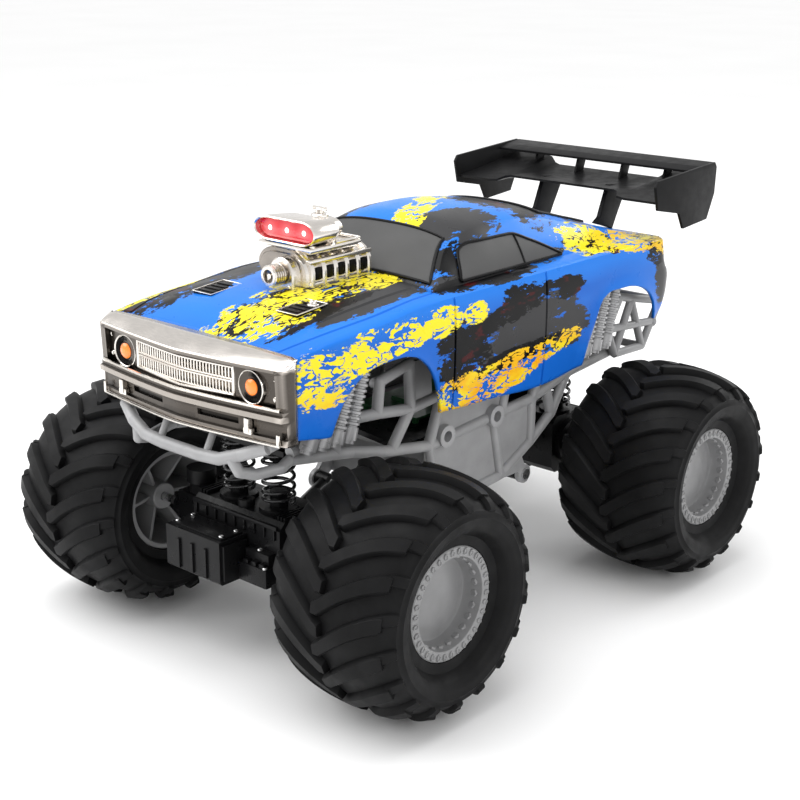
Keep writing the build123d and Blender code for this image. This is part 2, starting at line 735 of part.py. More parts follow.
def frame_screws():
    """The round-headed screws that join the deck to the side frames."""
    screws = []
    for side in SIDES:
        for y in TAB_PLACES:
            top = DECK_HIGH + DECK_THICK
            screws.append(bar((side * 39.4, y, top), (side * 39.4, y, top + 2), 2.2))
    return Compound(children=screws)


# Body

SIDE_OUTLINE = [
    (BODY_FRONT_Y, 145),
    (-151, 142),
    (-65, 134),
    (-13, 130.6),
    (25, 128),
    (68, 132.6),
    (148.4, 147),
    (164.5, 154),
    (169, 172),
    (164, 181),
    (163, 196),
    (150, 199.5),
    (-60, 203),
    (-113, 200),
    (-160, 192.5),
    (BODY_FRONT_Y, 187),
]
PLAN_OUTLINE = symmetric([(70, 169), (BODY_HALF, 120), (BODY_HALF, -140), (71.6, BODY_FRONT_Y)])
FRONT_OUTLINE = symmetric(
    [(BODY_HALF, 120), (BODY_HALF, 187), (70, 194), (56, 199), (30, 202.6), (0, 203.5)]
)
ROOF_OUTLINE = [
    (-62, 196),
    (-26, 226.5),
    (-12, 231),
    (18, 231.5),
    (52, 228.5),
    (98, 216),
    (152, 199.8),
    (152, 190),
    (-62, 190),
]
CABIN_OUTLINE = symmetric([(65, 188), (63.5, 198), (48, 219), (41, 225), (20, 230.5), (0, 232)])
FRONT_ARCH = [
    (-151, 130),
    (-146, 153),
    (-137, 164),
    (-126, 171),
    (-99, 173),
    (-87, 170.6),
    (-75, 162),
    (-69, 151),
    (-65, 130),
]
REAR_ARCH = [
    (68, 125),
    (75, 147),
    (84, 170.6),
    (96, 174.6),
    (111, 174),
    (128, 171),
    (143, 162),
    (148.4, 147),
    (149, 125),
]
SIDE_WINDOW = [(-34, 200.5), (-24, 217), (22, 216), (56, 200.5)]


def inset(points, amount):
    """A closed outline moved inwards."""
    return offset(Polygon(*points, align=None), -amount, kind=Kind.INTERSECTION)


def body_form(amount):
    """The car's outer form, every face moved inwards by an amount."""
    side = prism(Plane.YZ.offset(-100), inset(SIDE_OUTLINE, amount), 200)
    plan = prism(Plane.XY.offset(100), inset(PLAN_OUTLINE, amount), 150)
    front = Plane(origin=(0, 200, 0), x_dir=(1, 0, 0), z_dir=(0, -1, 0))
    lower = side & plan & prism(front, inset(FRONT_OUTLINE, amount), 400)
    return lower + cabin_form(amount)


def cabin_form(amount):
    """The glasshouse's outer form, every face moved inwards by an amount."""
    side = prism(Plane.YZ.offset(-100), inset(ROOF_OUTLINE, amount), 200)
    front = Plane(origin=(0, 200, 0), x_dir=(1, 0, 0), z_dir=(0, -1, 0))
    return side & prism(front, inset(CABIN_OUTLINE, amount), 400)


def window_openings():
    """The windscreen, side windows and rear window as cutting blocks."""
    screen = front_plate(symmetric([(53, 201), (42, 221), (0, 225.5)]), (-70, -24))
    rear = plan_plate([(-40, 66), (40, 66), (30, 122), (-30, 122)], (204, 240))
    sides = side_plate(SIDE_WINDOW, (30, 80))
    return screen + rear + both(sides)


def body_shell():
    """The thin painted shell, open underneath and at its nose, with wheel arches and windows."""
    shape = body_form(0) - body_form(BODY_WALL)
    shape -= block((-BODY_HALF + 2, BODY_HALF - 2), (BODY_FRONT_Y - 1, 162), (100, 165))
    shape -= block((-BODY_HALF + 3, BODY_HALF - 3), (BODY_FRONT_Y - 1, BODY_FRONT_Y + 4), (100, 184))
    shape -= side_plate(FRONT_ARCH, (-100, 100))
    shape -= side_plate(REAR_ARCH, (-100, 100))
    shape -= window_openings()
    shape -= block((-17.4, 17.4), (-113, -57.8), (190, 215))
    shape -= block((-60, 60), (160, 172), (100, 160))
    solids = shape.solids().sort_by(SortBy.VOLUME)
    return solids[-1]


def window_glazing():
    """The tinted moulding behind the window openings."""
    inner = cabin_form(BODY_WALL + GLASS_WALL) + block((-80, 80), (-80, 200), (150, 197))
    return (cabin_form(BODY_WALL) - inner) & block((-80, 80), (-80, 140), (200.5, 240))


def fascia_outline(forward):
    """The nose's bowed plan outline, moved forward by an amount."""
    front = [(71, -181 - forward), (60, -185 - forward), (0, -190 - forward)]
    return symmetric([(71.6, BODY_FRONT_Y)] + front)


def front_fascia():
    """The bright nose moulding, with openings for the grille and lamps and a folded lower lip."""
    shape = plan_plate(fascia_outline(0), FASCIA_Z)
    inner = offset(Polygon(*fascia_outline(0), align=None), -2.2, kind=Kind.INTERSECTION)
    hollow = prism(Plane.XY.offset(FASCIA_Z[0] - 1), inner, FASCIA_Z[1] - FASCIA_Z[0] - 1)
    shape -= hollow
    shape -= block((-69, 69), (BODY_FRONT_Y - 5, BODY_FRONT_Y + 1), (FASCIA_Z[0] - 1, FASCIA_Z[1] - 2))
    grille = front_plate([(-37, 164), (0, 162), (37, 164), (37, 180), (-37, 180)], (-200, -180))
    shape -= grille
    for side in SIDES:
        shape -= bar((side * LAMP_X, -200, LAMP_Z), (side * LAMP_X, -178, LAMP_Z), LAMP_RADIUS)
    return shape


def grille_insert():
    """The slatted plate behind the grille opening."""
    edge, point = -182.6, -186.4
    front = [(-GRILLE_HALF, edge), (0, point), (GRILLE_HALF, edge)]
    back = [(GRILLE_HALF, edge + 1.6), (0, point + 1.6), (-GRILLE_HALF, edge + 1.6)]
    shape = plan_plate(front + back, (164.3, 179.7))
    for column in range(GRILLE_SLOTS):
        x = (column - GRILLE_SLOTS // 2) * SLOT_PITCH
        y = edge + (point - edge) * (1 - abs(x) / GRILLE_HALF)
        for row in ((166, 171), (172.5, 178)):
            shape -= block((x - SLOT_HALF, x + SLOT_HALF), (y - 3, y + 4), row)
    return shape


def lamp_bezels():
    """The ring around each lamp."""
    rings = []
    for side in SIDES:
        x = side * LAMP_X
        ring = bar((x, -188.6, LAMP_Z), (x, -181, LAMP_Z), LAMP_RADIUS)
        ring -= bar((x, -190, LAMP_Z), (x, -182.6, LAMP_Z), LAMP_RADIUS - 2)
        rings.append(ring)
    return Compound(children=rings)


def lamp_lenses():
    """The domed lens in each lamp."""
    lenses = []
    for side in SIDES:
        x = side * LAMP_X
        base = bar((x, -185, LAMP_Z), (x, -182.6, LAMP_Z), 6)
        ahead = block((x - 9, x + 9), (-190, -184), (150, 190))
        dome = Pos(x, -181.5, LAMP_Z) * Sphere(6.2) & ahead
        lenses.append(base + dome)
    return Compound(children=lenses)


def bumper_blade():
    """The slim blade across the nose, with two small upright guards."""
    outer = [(68, -181.4), (60, -187.6), (0, -193), (0, -190.2), (60, -185.2), (67, -181.4)]
    shape = plan_plate(outer, (156.5, 161.5))
    shape += plan_plate([(-x, y) for x, y in outer], (156.5, 161.5))
    for side in SIDES:
        x = side * LAMP_X
        shape += block((x - 2.2, x + 2.2), (-190.4, -184.6), (147, 156))
    return shape


# Blower and scoop

def blower_case():
    """The ribbed supercharger case on the hood."""
    shape = block((-15, 15), (-108, -58), (197, 221))
    shape = fillet(shape.edges().filter_by(Axis.Y), 4)
    for step in range(6):
        y = -106 + step * 9.2
        band = block((-17, 17), (y, y + 3), (198, 222.5))
        shape += fillet(band.edges().filter_by(Axis.Y), 4)
    return shape & block((-17, 17), (-112.8, -58.2), (190, 222.5))


def blower_snout():
    """The ribbed pulley and nose piece in front of the blower."""
    shape = bar((0, -116, 209), (0, -108, 209), 9)
    for step in range(4):
        y = -123.6 + step * 2.2
        shape += bar((0, y, 209), (0, y + 1.2, 209), 8)
    return shape + bar((0, -124, 209), (0, -115, 209), 6.6)


def blower_cover():
    """The round cover on the blower's right side."""
    middle_y, middle_z = COVER_CENTRE
    shape = round_x((-23, -17), middle_y, middle_z, 10.2)
    return shape + round_x((-25, -22.9), middle_y, middle_z, 6)


def scoop_tray():
    """The flat carburettor tray between the blower and the scoop."""
    return block((-21, 21), (-112, -72), (222.5, 225))


def scoop_form(inset_by):
    """The intake scoop's outer form, which tapers to the rear."""
    mouth = Plane(origin=(0, -112, 232), x_dir=(1, 0, 0), z_dir=(0, -1, 0))
    tail = Plane(origin=(0, -74, 230.5), x_dir=(1, 0, 0), z_dir=(0, -1, 0))
    front = RectangleRounded(48 - 2 * inset_by, 14 - 2 * inset_by, 6.9 - inset_by)
    back = RectangleRounded(36 - 2 * inset_by, 11 - 2 * inset_by, 5.4 - inset_by)
    return loft([mouth * front, tail * back])


def intake_scoop():
    """The hollow bright scoop with its stadium-shaped mouth."""
    hollow = scoop_form(2) & block((-30, 30), (-113, -84), (220, 240))
    return scoop_form(0) - hollow


def scoop_lens():
    """The red lens plate in the scoop's mouth."""
    return scoop_form(2.1) & block((-30, 30), (-108.5, -106.5), (220, 240))


def scoop_lamps():
    """The three round lamps behind the lens."""
    lamps = [bar((x, -106.4, 232), (x, -101, 232), 3) for x in (-13, 0, 13)]
    return Compound(children=lamps)


def scoop_knob():
    """The wing nut on top of the scoop."""
    base = bar((0, -84, 237.4), (0, -84, 239.4), 5)
    return base + bar((0, -84, 239), (0, -84, 242), 2.6)


# Wing

def wing_struts():
    """The two swept legs of the rear wing."""
    outline = [(141, 203.9), (152, 200.6), (162, 197.2), (166.5, 206), (178, 224.4), (156, 227), (147, 207)]
    return both(side_plate(outline, (STRUT_X - 1.6, STRUT_X + 1.6)))


def lower_wing():
    """The main wing plane, folded up towards both ends, with its end plates."""
    middle = [(140, 226.5), (180, 224.3), (196, 227.5), (196, 229.5), (180, 226.3), (140, 228.5)]
    outer = [(133, 223.5), (160, 226.5), (196, 233.5), (196, 235.5), (160, 228.5), (133, 225.5)]
    shape = side_plate(middle, (-46, 46))
    for side in SIDES:
        shape += side_plate(outer, sorted((side * 45, side * (WING_HALF - 1))))
        plate = [
            (127.5, 234.8),
            (130.4, 238.4),
            (197, 243.4),
            (199.2, 240),
            (198, 223),
            (190, 206.6),
            (161.8, 204.2),
            (156, 215),
            (131, 220),
        ]
        shape += side_plate(plate, sorted((side * (WING_HALF - 2.2), side * WING_HALF)))
    return shape


def upper_wing():
    """The narrow rear plane with the four small posts under it."""
    outline = [(176, 238), (198, 241), (198, 243), (176, 240)]
    shape = side_plate(outline, (-WING_HALF + 2.2, WING_HALF - 2.2))
    for x, low, high in ((18, 226.75, 228.35), (52, 232.85, 234.4)):
        post = side_plate([(182, low), (190, high), (194, 241), (186, 240)], (x - 1, x + 1))
        shape += both(post)
    return shape


def wheel_nodes(name, side, axle_y):
    """The nodes of one wheel. The rim and its bead ring are two solids of one node."""
    return {
        name + "_tyre": place_wheel(TYRE, side, axle_y),
        name + "_rim": place_wheel(RIM, side, axle_y),
    }


TYRE = tyre()
RIM = Compound(children=[rim(), bead_ring()])

NODES = {
    "belly_tub": belly_tub(),
    "battery_door": battery_door(),
    "battery_pack": battery_pack(),
    "power_switch": power_switch(),
    "chassis_deck": deck(),
    "receiver_board": receiver_board(),
    "left_side_frame": side_frame(),
    "right_side_frame": flip(side_frame()),
    "front_bumper_bar": front_bumper_bar(),
    "rear_cage": rear_cage(),
    "front_ribbed_pipes": front_pipes(),
    "rear_ribbed_pipes": rear_pipes(),
    "body_posts": body_posts(),
    "frame_screws": frame_screws(),
    "link_pins": link_pins(),
    "front_springs": springs(FRONT_AXLE_Y, FRONT_SPRING_X),
    "rear_springs": springs(REAR_AXLE_Y, REAR_SPRING_X),
    "body_shell": body_shell(),
    "window_glazing": window_glazing(),
    "front_fascia": front_fascia() + bumper_blade(),
    "grille_insert": grille_insert(),
    "lamp_bezels": lamp_bezels(),
    "lamp_lenses": lamp_lenses(),
    "blower_case": blower_case() + scoop_tray(),
    "blower_snout": blower_snout(),
    "blower_cover": blower_cover(),
    "intake_scoop": intake_scoop() + scoop_knob(),
    "scoop_lens": scoop_lens(),
    "scoop_lamps": scoop_lamps(),
    "rear_wing": lower_wing() + wing_struts(),
    "upper_wing": upper_wing(),
    "front_link_yoke": yoke(FRONT_AXLE_Y, -1, FRONT_LINK_PIVOT),
    "front_lower_case": lower_case(FRONT_AXLE_Y, -1) + steering_fork(1) + steering_fork(-1),
    "front_upper_case": upper_case(FRONT_AXLE_Y, -1, FRONT_SPRING_X),
    "front_motor_cover": motor_cover(FRONT_AXLE_Y, -1),
    "front_motor": motor(FRONT_AXLE_Y, -1),
    "front_motor_pinion": pinion(FRONT_AXLE_Y, -1),
    "front_drive_shaft": front_drive_shaft(),
    "steering_servo": steering_servo(),
    "servo_horn": servo_horn(),
    "tie_rod": tie_rod(),
    "left_knuckle": knuckle(1),
    "right_knuckle": knuckle(-1),
    "left_stub_axle": stub_axle(1),
    "right_stub_axle": stub_axle(-1),
    "rear_link_yoke": yoke(REAR_AXLE_Y, 1, REAR_LINK_PIVOT),
    "rear_lower_case": lower_case(REAR_AXLE_Y, 1) + axle_tube(1) + axle_tube(-1),
    "rear_upper_case": upper_case(REAR_AXLE_Y, 1, REAR_SPRING_X),
    "rear_motor_cover": motor_cover(REAR_AXLE_Y, 1),
    "rear_motor": motor(REAR_AXLE_Y, 1),
    "rear_motor_pinion": pinion(REAR_AXLE_Y, 1),
    "rear_axle_shaft": rear_axle_shaft(),
}
NODES.update(wheel_nodes("front_left", 1, FRONT_AXLE_Y))
NODES.update(wheel_nodes("front_right", -1, FRONT_AXLE_Y))
NODES.update(wheel_nodes("rear_left", 1, REAR_AXLE_Y))
NODES.update(wheel_nodes("rear_right", -1, REAR_AXLE_Y))

os.makedirs("parts", exist_ok=True)
for name, shape in NODES.items():
    export_step(shape, f"parts/{name}.step")
print(len(NODES), "nodes")
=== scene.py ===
import math
from functools import partial

import bmesh
import bpy
from mathutils import Matrix, Vector


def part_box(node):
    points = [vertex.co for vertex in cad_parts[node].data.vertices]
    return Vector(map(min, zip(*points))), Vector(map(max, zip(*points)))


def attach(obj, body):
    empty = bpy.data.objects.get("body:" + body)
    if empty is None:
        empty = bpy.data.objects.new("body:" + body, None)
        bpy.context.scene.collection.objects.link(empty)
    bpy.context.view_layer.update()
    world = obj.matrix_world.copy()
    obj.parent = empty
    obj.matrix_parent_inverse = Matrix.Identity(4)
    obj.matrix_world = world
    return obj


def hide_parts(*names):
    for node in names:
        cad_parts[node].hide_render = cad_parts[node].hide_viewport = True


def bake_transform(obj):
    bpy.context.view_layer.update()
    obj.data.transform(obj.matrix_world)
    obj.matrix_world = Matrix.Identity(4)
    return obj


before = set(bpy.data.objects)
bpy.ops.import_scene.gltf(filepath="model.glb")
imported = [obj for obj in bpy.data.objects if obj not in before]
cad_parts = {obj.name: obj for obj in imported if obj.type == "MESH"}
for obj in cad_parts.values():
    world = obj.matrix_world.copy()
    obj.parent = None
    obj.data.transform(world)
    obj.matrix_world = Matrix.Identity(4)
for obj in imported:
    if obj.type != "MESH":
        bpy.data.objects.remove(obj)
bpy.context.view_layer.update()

# Lengths in this file are millimetres in the row frame, and a mesh becomes metres when it is made.
MM = 0.001
SIDES = (1, -1)

# Wheels
TYRE_RADIUS = 65.0
TYRE_HALF = 43.65
BEAD_RADIUS = 30.4
SECTION_POWER = 2.26
LUG_COUNT = 18
LUG_HEIGHT = 4.0
LUG_HALF = 4.6
LUG_SWEEP = 0.40
BOLT_COUNT = 34
BOLT_CIRCLE = 27.6
RIM_FACE = 32.9
WHEELS = {
    "front_left": (1, "front_left_wheel"),
    "front_right": (-1, "front_right_wheel"),
    "rear_left": (1, "rear_wheels"),
    "rear_right": (-1, "rear_wheels"),
}

# Body lines, as (y, value) points from the nose to the tail, or as (z, value) points from the foot up
BODY_FRONT = -172.8
BODY_REAR = 169.0
CREASE_Z = [
    (-173, 186.6), (-150, 189.9), (-113, 193), (-74, 196.6), (-12, 197), (63, 197.6), (105, 198),
    (169, 196),
]
CENTRE_Z = [(-173, 188.4), (-150, 195.5), (-113, 200.8), (-60, 203), (20, 203), (150, 200.2), (169, 197.4)]
LOWER_Z = [
    (-173, 145), (-151, 142), (-147.5, 150), (-143, 158), (-137, 164.2), (-126, 170.4), (-113, 172.6),
    (-99, 173), (-87, 170.6), (-77, 163.6), (-70.5, 153), (-66.5, 141), (-65, 134), (-13, 130.6), (25, 128),
    (68, 132.6), (71.5, 140), (75.5, 151), (80, 163), (86, 171), (96, 174.6), (111, 174.4), (126, 171.8),
    (137, 166.5), (144, 158.5), (147, 151), (148.4, 147), (164.5, 154), (169, 170),
]
TAIL_Y = [(145, 158), (154, 164.5), (163, 168), (172, 169), (177, 167.4), (181, 164), (196, 163)]
SIDE_X = [(125, 70.2), (142, 71.9), (158, 73.0), (176, 73.2), (188, 72.8), (197, 71.8), (204, 71)]
DOOR_FRONT = -54.0
DOOR_REAR = 29.0
GAP_WIDTH = 0.9
GAP_DEPTH = 1.1
SHELL_WALL = 1.8
FRONT_ARCH = (-110.0, 41.0)
REAR_ARCH = (110.0, 40.0)
ARCH_Z = 132.0
VENT_X = 33.0
VENT_Y = -131.0
VENT_SLOPE = math.radians(5)

# Cabin lines and windows
RAIL_X = [(-62, 64), (-26, 46.5), (-2, 45.6), (57, 46), (98, 47.5), (150, 50)]
RAIL_Z = [(-62, 199.4), (-26, 220.2), (-2, 224.6), (27, 224.4), (57, 221), (98, 210.8), (150, 199)]
ROOF_Z = [(-62, 201), (-28, 225.6), (-12, 230.4), (14, 231.6), (50, 228.6), (98, 216), (150, 200)]
GLASS_BASE_Z = 201.2
GLASS_POST_Y = 23.0

# Nose, lamps and grille
NOSE_HALF = 71.0
NOSE_LEVELS = [
    143.5, 144.2, 146.8, 147.2, 150.4, 150.8, 153.2, 153.6, 156, 156.4, 159.2, 159.6, 161.4, 161.8, 163.4,
    163.8, 167, 171, 175, 179.4, 179.8, 180.4, 180.8, 182.0, 182.8,
]
NOSE_WALL = 1.4
LAMP_X = 49.2
LAMP_Z = 170.7
GRILLE_HALF = 36.8
GRILLE_PITCH = 2.13

# Blower, scoop and wings
BLOWER_BACK = -58.6
RIB_PITCH = 8.9
COVER_Z = 211.8
COVER_X = (-25.0, 12.0)
COVER_RADIUS = 10.0
# Centres of the three lamps in the scoop's red panel
SCOOP_LAMPS = [(x, -108.4, 232) for x in (-13, 0, 13)]
WING_HALF = 80.2

# Axle cases: each one's Y, which way its motor box points and the body it belongs to
AXLE_CASES = {
    "front": (-134.2, -1, "front_axle"),
    "rear": (109.7, 1, "rear_axle"),
}
CASE_HALF_LENGTH = 17.8
MOTOR_BOX_LENGTH = 20.2
MOTOR_BOX_TOP = 72.5

# Springs: the X of each axle's pair and the body that carries their lower ends
SPRING_PAIRS = {
    "front": (16.0, "front_yoke"),
    "rear": (24.0, "rear_yoke"),
}
SPRING_Z = (87.6, 119.0)
SPRING_RADIUS = 8.6
SPRING_WIRE = 1.05
SPRING_TURNS = 6.5

# Camera and floor, in metres, with the lens in millimetres
CAMERA_PLACE = Vector((0.5806, -0.6668, 0.3917))
CAMERA_TARGET = Vector((0.0, -0.0122, 0.1359))
CAMERA_ROLL = math.radians(0.235)
CAMERA_LENS = 68.18
CAMERA_SHIFT = (-0.0074, -0.0444)
FLOOR_REACH = 40.0


def smooth_line(points, at):
    """A smooth value that runs through (position, value) points without overshoot."""
    if at <= points[0][0]:
        return points[0][1]
    if at >= points[-1][0]:
        return points[-1][1]
    slopes = [(b[1] - a[1]) / (b[0] - a[0]) for a, b in zip(points, points[1:])]
    tangents = [slopes[0]]
    for left, right in zip(slopes, slopes[1:]):
        tangents.append(0.0 if left * right <= 0 else 2 * left * right / (left + right))
    tangents.append(slopes[-1])
    for index, (a, b) in enumerate(zip(points, points[1:])):
        if at <= b[0]:
            width = b[0] - a[0]
            t = (at - a[0]) / width
            start = (1 + 2 * t) * (1 - t) ** 2 * a[1] + t * (1 - t) ** 2 * width * tangents[index]
            end = t * t * (3 - 2 * t) * b[1] + t * t * (t - 1) * width * tangents[index + 1]
            return start + end
    return points[-1][1]


def spread(low, high, step, extra=()):
    """Positions from low to high about a step apart, with any extra ones added."""
    count = max(1, round((high - low) / step))
    found = {round(low + (high - low) * i / count, 4) for i in range(count + 1)}
    found.update(round(e, 4) for e in extra if low < e < high)
    return sorted(found)


def mix(a, b, share):
    """A point part of the way from a to b."""
    return tuple(p + (q - p) * share for p, q in zip(a, b))


# Mesh building

def piece(name, builder, finish, body, stands_for=(), sharp=35, place=None):
    """A mesh made by a builder function, with its finish, its CAD body and the CAD nodes it stands for.

    A piece with no body is attached to none."""
    mesh_data = bmesh.new()
    builder(mesh_data)
    if place:
        mesh_data.transform(place)
    bmesh.ops.remove_doubles(mesh_data, verts=mesh_data.verts, dist=0.002)
    flat = [f for f in mesh_data.faces if f.calc_area() < 1e-7]
    bmesh.ops.delete(mesh_data, geom=flat, context="FACES_ONLY")
    bmesh.ops.recalc_face_normals(mesh_data, faces=mesh_data.faces)
    mesh = bpy.data.meshes.new(name)
    mesh_data.to_mesh(mesh)
    mesh_data.free()
    mesh.transform(Matrix.Scale(MM, 4))
    mesh.materials.append(FINISHES[finish])
    mesh.shade_smooth()
    mesh.set_sharp_from_angle(angle=math.radians(sharp))
    obj = bpy.data.objects.new(name, mesh)
    bpy.context.scene.collection.objects.link(obj)
    if body:
        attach(obj, body)
    if stands_for:
        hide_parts(*stands_for)
    return obj


def fixed(name, builder, finish, *stands_for):
    """A piece that belongs to the chassis."""
    return piece(name, builder, finish, "chassis", stands_for)


def walled(name, builder, finish, node, wall, sharp):
    """A chassis piece made from an open skin, with a wall on its inner side that is black inside."""
    obj = piece(name, builder, finish, "chassis", [node], sharp)
    obj.data.materials.append(FINISHES["trim_black"])
    wall_maker = obj.modifiers.new("wall", "SOLIDIFY")
    wall_maker.thickness = wall * MM
    wall_maker.offset = -1
    wall_maker.material_offset = 1
    wall_maker.use_even_offset = False


def skin(bm, rows, closed=False, ends=False):
    """Faces between rows of points, which may be closed loops and may be capped at both ends."""
    verts = [[bm.verts.new(p) for p in row] for row in rows]
    for low, high in zip(verts, verts[1:]):
        count = len(low)
        for i in range(count if closed else count - 1):
            j = (i + 1) % count
            bm.faces.new((low[i], low[j], high[j], high[i]))
    if ends:
        bm.faces.new(verts[0])
        bm.faces.new(reversed(verts[-1]))
    return verts


def turned(bm, profile, place, steps=48):
    """A surface of revolution about local X of (x, radius) points, put in place by a matrix."""
    rows = []
    for x, radius in profile:
        row = []
        for step in range(steps):
            angle = 2 * math.pi * step / steps
            row.append(place @ Vector((x, -radius * math.sin(angle), radius * math.cos(angle))))
        rows.append(row)
    skin(bm, rows, closed=True)


def tube(bm, path, radius, sides=14):
    """A round tube with capped ends along a path of points."""
    points = [Vector(p) for p in path]
    rows = []
    side_way = None
    for index, point in enumerate(points):
        before, after = points[max(index - 1, 0)], points[min(index + 1, len(points) - 1)]
        ahead = (after - before).normalized()
        if side_way is None:
            side_way = ahead.orthogonal().normalized()
        side_way = (side_way - ahead * side_way.dot(ahead)).normalized()
        up_way = ahead.cross(side_way)
        row = []
        for step in range(sides):
            angle = 2 * math.pi * step / sides
            row.append(point + (side_way * math.cos(angle) + up_way * math.sin(angle)) * radius)
        rows.append(row)
    skin(bm, rows, closed=True, ends=True)


def plate(bm, outline, low, high, place, bevel=0.0):
    """A flat plate: an outline in local X and Y, thick along local Z, with bevelled edges."""
    made = bmesh.new()
    bottom = [made.verts.new((x, y, low)) for x, y in outline]
    top = [made.verts.new((x, y, high)) for x, y in outline]
    made.faces.new(reversed(bottom))
    made.faces.new(top)
    count = len(outline)
    for i in range(count):
        j = (i + 1) % count
        made.faces.new((bottom[i], bottom[j], top[j], top[i]))
    bmesh.ops.recalc_face_normals(made, faces=made.faces)
    if bevel:
        bmesh.ops.bevel(made, geom=list(made.edges), offset=bevel, segments=2, profile=0.6, affect="EDGES")
    made.transform(place)
    join(bm, made)


def join(bm, made):
    """Adds one mesh to another and frees it."""
    mesh = bpy.data.meshes.new("joining")
    made.to_mesh(mesh)
    made.free()
    bm.from_mesh(mesh)
    bpy.data.meshes.remove(mesh)


def rectangle(low, high):
    """The outline of a rectangle between two corners."""
    return [(low[0], low[1]), (high[0], low[1]), (high[0], high[1]), (low[0], high[1])]


def brick(bm, low, high, bevel):
    """A block with rounded edges between two corners."""
    plate(bm, rectangle(low, high), low[2], high[2], Matrix.Identity(4), bevel)


def side_brick(bm, side, x, y, z, bevel):
    """A block on one side of the truck, from the two values of each axis on its left side."""
    low, high = sorted((side * x[0], side * x[1]))
    brick(bm, (low, y[0], z[0]), (high, y[1], z[1]), bevel)


def dense(line, step):
    """A line of points with more points added along each run."""
    made = []
    for a, b in zip(line, line[1:]):
        count = max(1, round(math.dist(a, b) / step))
        made += [mix(a, b, i / count) for i in range(count)]
    return made + [line[-1]]


# Turns that lay a plate's outline in (y, z) or in (x, z)
SIDE_FACING = Matrix(((0, 0, 1, 0), (1, 0, 0, 0), (0, 1, 0, 0), (0, 0, 0, 1)))
FRONT_FACING = Matrix(((1, 0, 0, 0), (0, 0, -1, 0), (0, 1, 0, 0), (0, 0, 0, 1)))


def towards_front(x, y, z):
    """A matrix that points local X at the truck's nose from a place."""
    return Matrix.Translation((x, y, z)) @ Matrix.Rotation(-math.pi / 2, 4, "Z")


def towards_top(x, y, z):
    """A matrix that points local X upwards from a place."""
    return Matrix.Translation((x, y, z)) @ Matrix.Rotation(-math.pi / 2, 4, "Y")


# Materials

def new_finish(name):
    """An empty material and its principled shader."""
    material = bpy.data.materials.new(name)
    material.use_nodes = True
    return material, material.node_tree, material.node_tree.nodes["Principled BSDF"]


def feed(tree, node, inputs):
    """Sets or links a node's inputs, given by name or number."""
    for key, value in inputs.items():
        if isinstance(value, bpy.types.NodeSocket):
            tree.links.new(value, node.inputs[key])
        else:
            node.inputs[key].default_value = value


def add(tree, kind, inputs=None, **settings):
    """A shader node with its settings made and its inputs set or linked."""
    made = tree.nodes.new("ShaderNode" + kind)
    for key, value in settings.items():
        setattr(made, key, value)
    feed(tree, made, inputs or {})
    return made


def calculate(tree, operation, first, second=0.0):
    """The result of one arithmetic step."""
    return add(tree, "Math", {0: first, 1: second}, operation=operation).outputs[0]


def place_of(tree, stretch=(1, 1, 1)):
    """The surface point's own place, stretched along each axis."""
    where = add(tree, "TexCoord").outputs["Object"]
    return add(tree, "Mapping", {"Vector": where, "Scale": stretch}).outputs[0]


def cloud(tree, where, scale, detail=4, rough=0.55, distortion=0.0):
    """Noise with values around a half."""
    inputs = {"Vector": where, "Scale": scale, "Detail": detail, "Roughness": rough}
    return add(tree, "TexNoise", inputs | {"Distortion": distortion}).outputs["Fac"]


def ramp(tree, value, stops):
    """A colour ramp of (position, colour) stops."""
    made = add(tree, "ValToRGB", {"Fac": value})
    elements = made.color_ramp.elements
    elements[0].position, elements[0].color = stops[0]
    elements[1].position, elements[1].color = stops[-1]
    for position, colour in stops[1:-1]:
        elements.new(position).color = colour
    return made.outputs["Color"]


def remap(tree, value, low, high, out_low, out_high):
    """A value moved from one range to another and held inside it."""
    inputs = {"Value": value, "From Min": low, "From Max": high, "To Min": out_low, "To Max": out_high}
    return add(tree, "MapRange", inputs).outputs["Result"]


def grey(level, alpha=1.0):
    """A neutral colour."""
    return (level, level, level, alpha)


def shade(colour, factor):
    """A colour made lighter or darker."""
    return tuple(min(1.0, c * factor) for c in colour[:3]) + (1.0,)


def relief(tree, shader, height, strength, distance):
    """Fine surface relief from a height value."""
    bump = add(tree, "Bump", {"Height": height, "Strength": strength, "Distance": distance})
    tree.links.new(bump.outputs[0], shader.inputs["Normal"])


def two_tone(tree, factor, first, second):
    """The first colour, turning to the second where the factor is one."""
    return add(tree, "Mix", {0: factor, 6: first, 7: second}, data_type="RGBA").outputs[2]


def uneven(tree, where, scale, detail, rough):
    """Roughness that drifts between two values."""
    return remap(tree, cloud(tree, where, scale, detail), 0.3, 0.7, rough[0], rough[1])


def moulded(name, colour, rough, metallic=0.0, coat=0.0, specular=0.5):
    """Moulded plastic or plain metal: slight mottling, uneven gloss, fine grain and paler rubbed edges."""
    material, tree, shader = new_finish(name)
    where = place_of(tree)
    tone = ramp(tree, cloud(tree, where, 55, 6), [(0.3, shade(colour, 0.88)), (0.7, shade(colour, 1.12))])
    worn = remap(tree, add(tree, "NewGeometry").outputs["Pointiness"], 0.52, 0.6, 0, 0.35)
    feed(tree, shader, {
        "Base Color": two_tone(tree, worn, tone, shade(colour, 1.7)),
        "Roughness": uneven(tree, where, 160, 3, rough),
        "Metallic": metallic,
        "Coat Weight": coat,
        "Specular IOR Level": specular,
    })
    relief(tree, shader, cloud(tree, where, 2600, 2), 0.5, 0.00004)
    return material


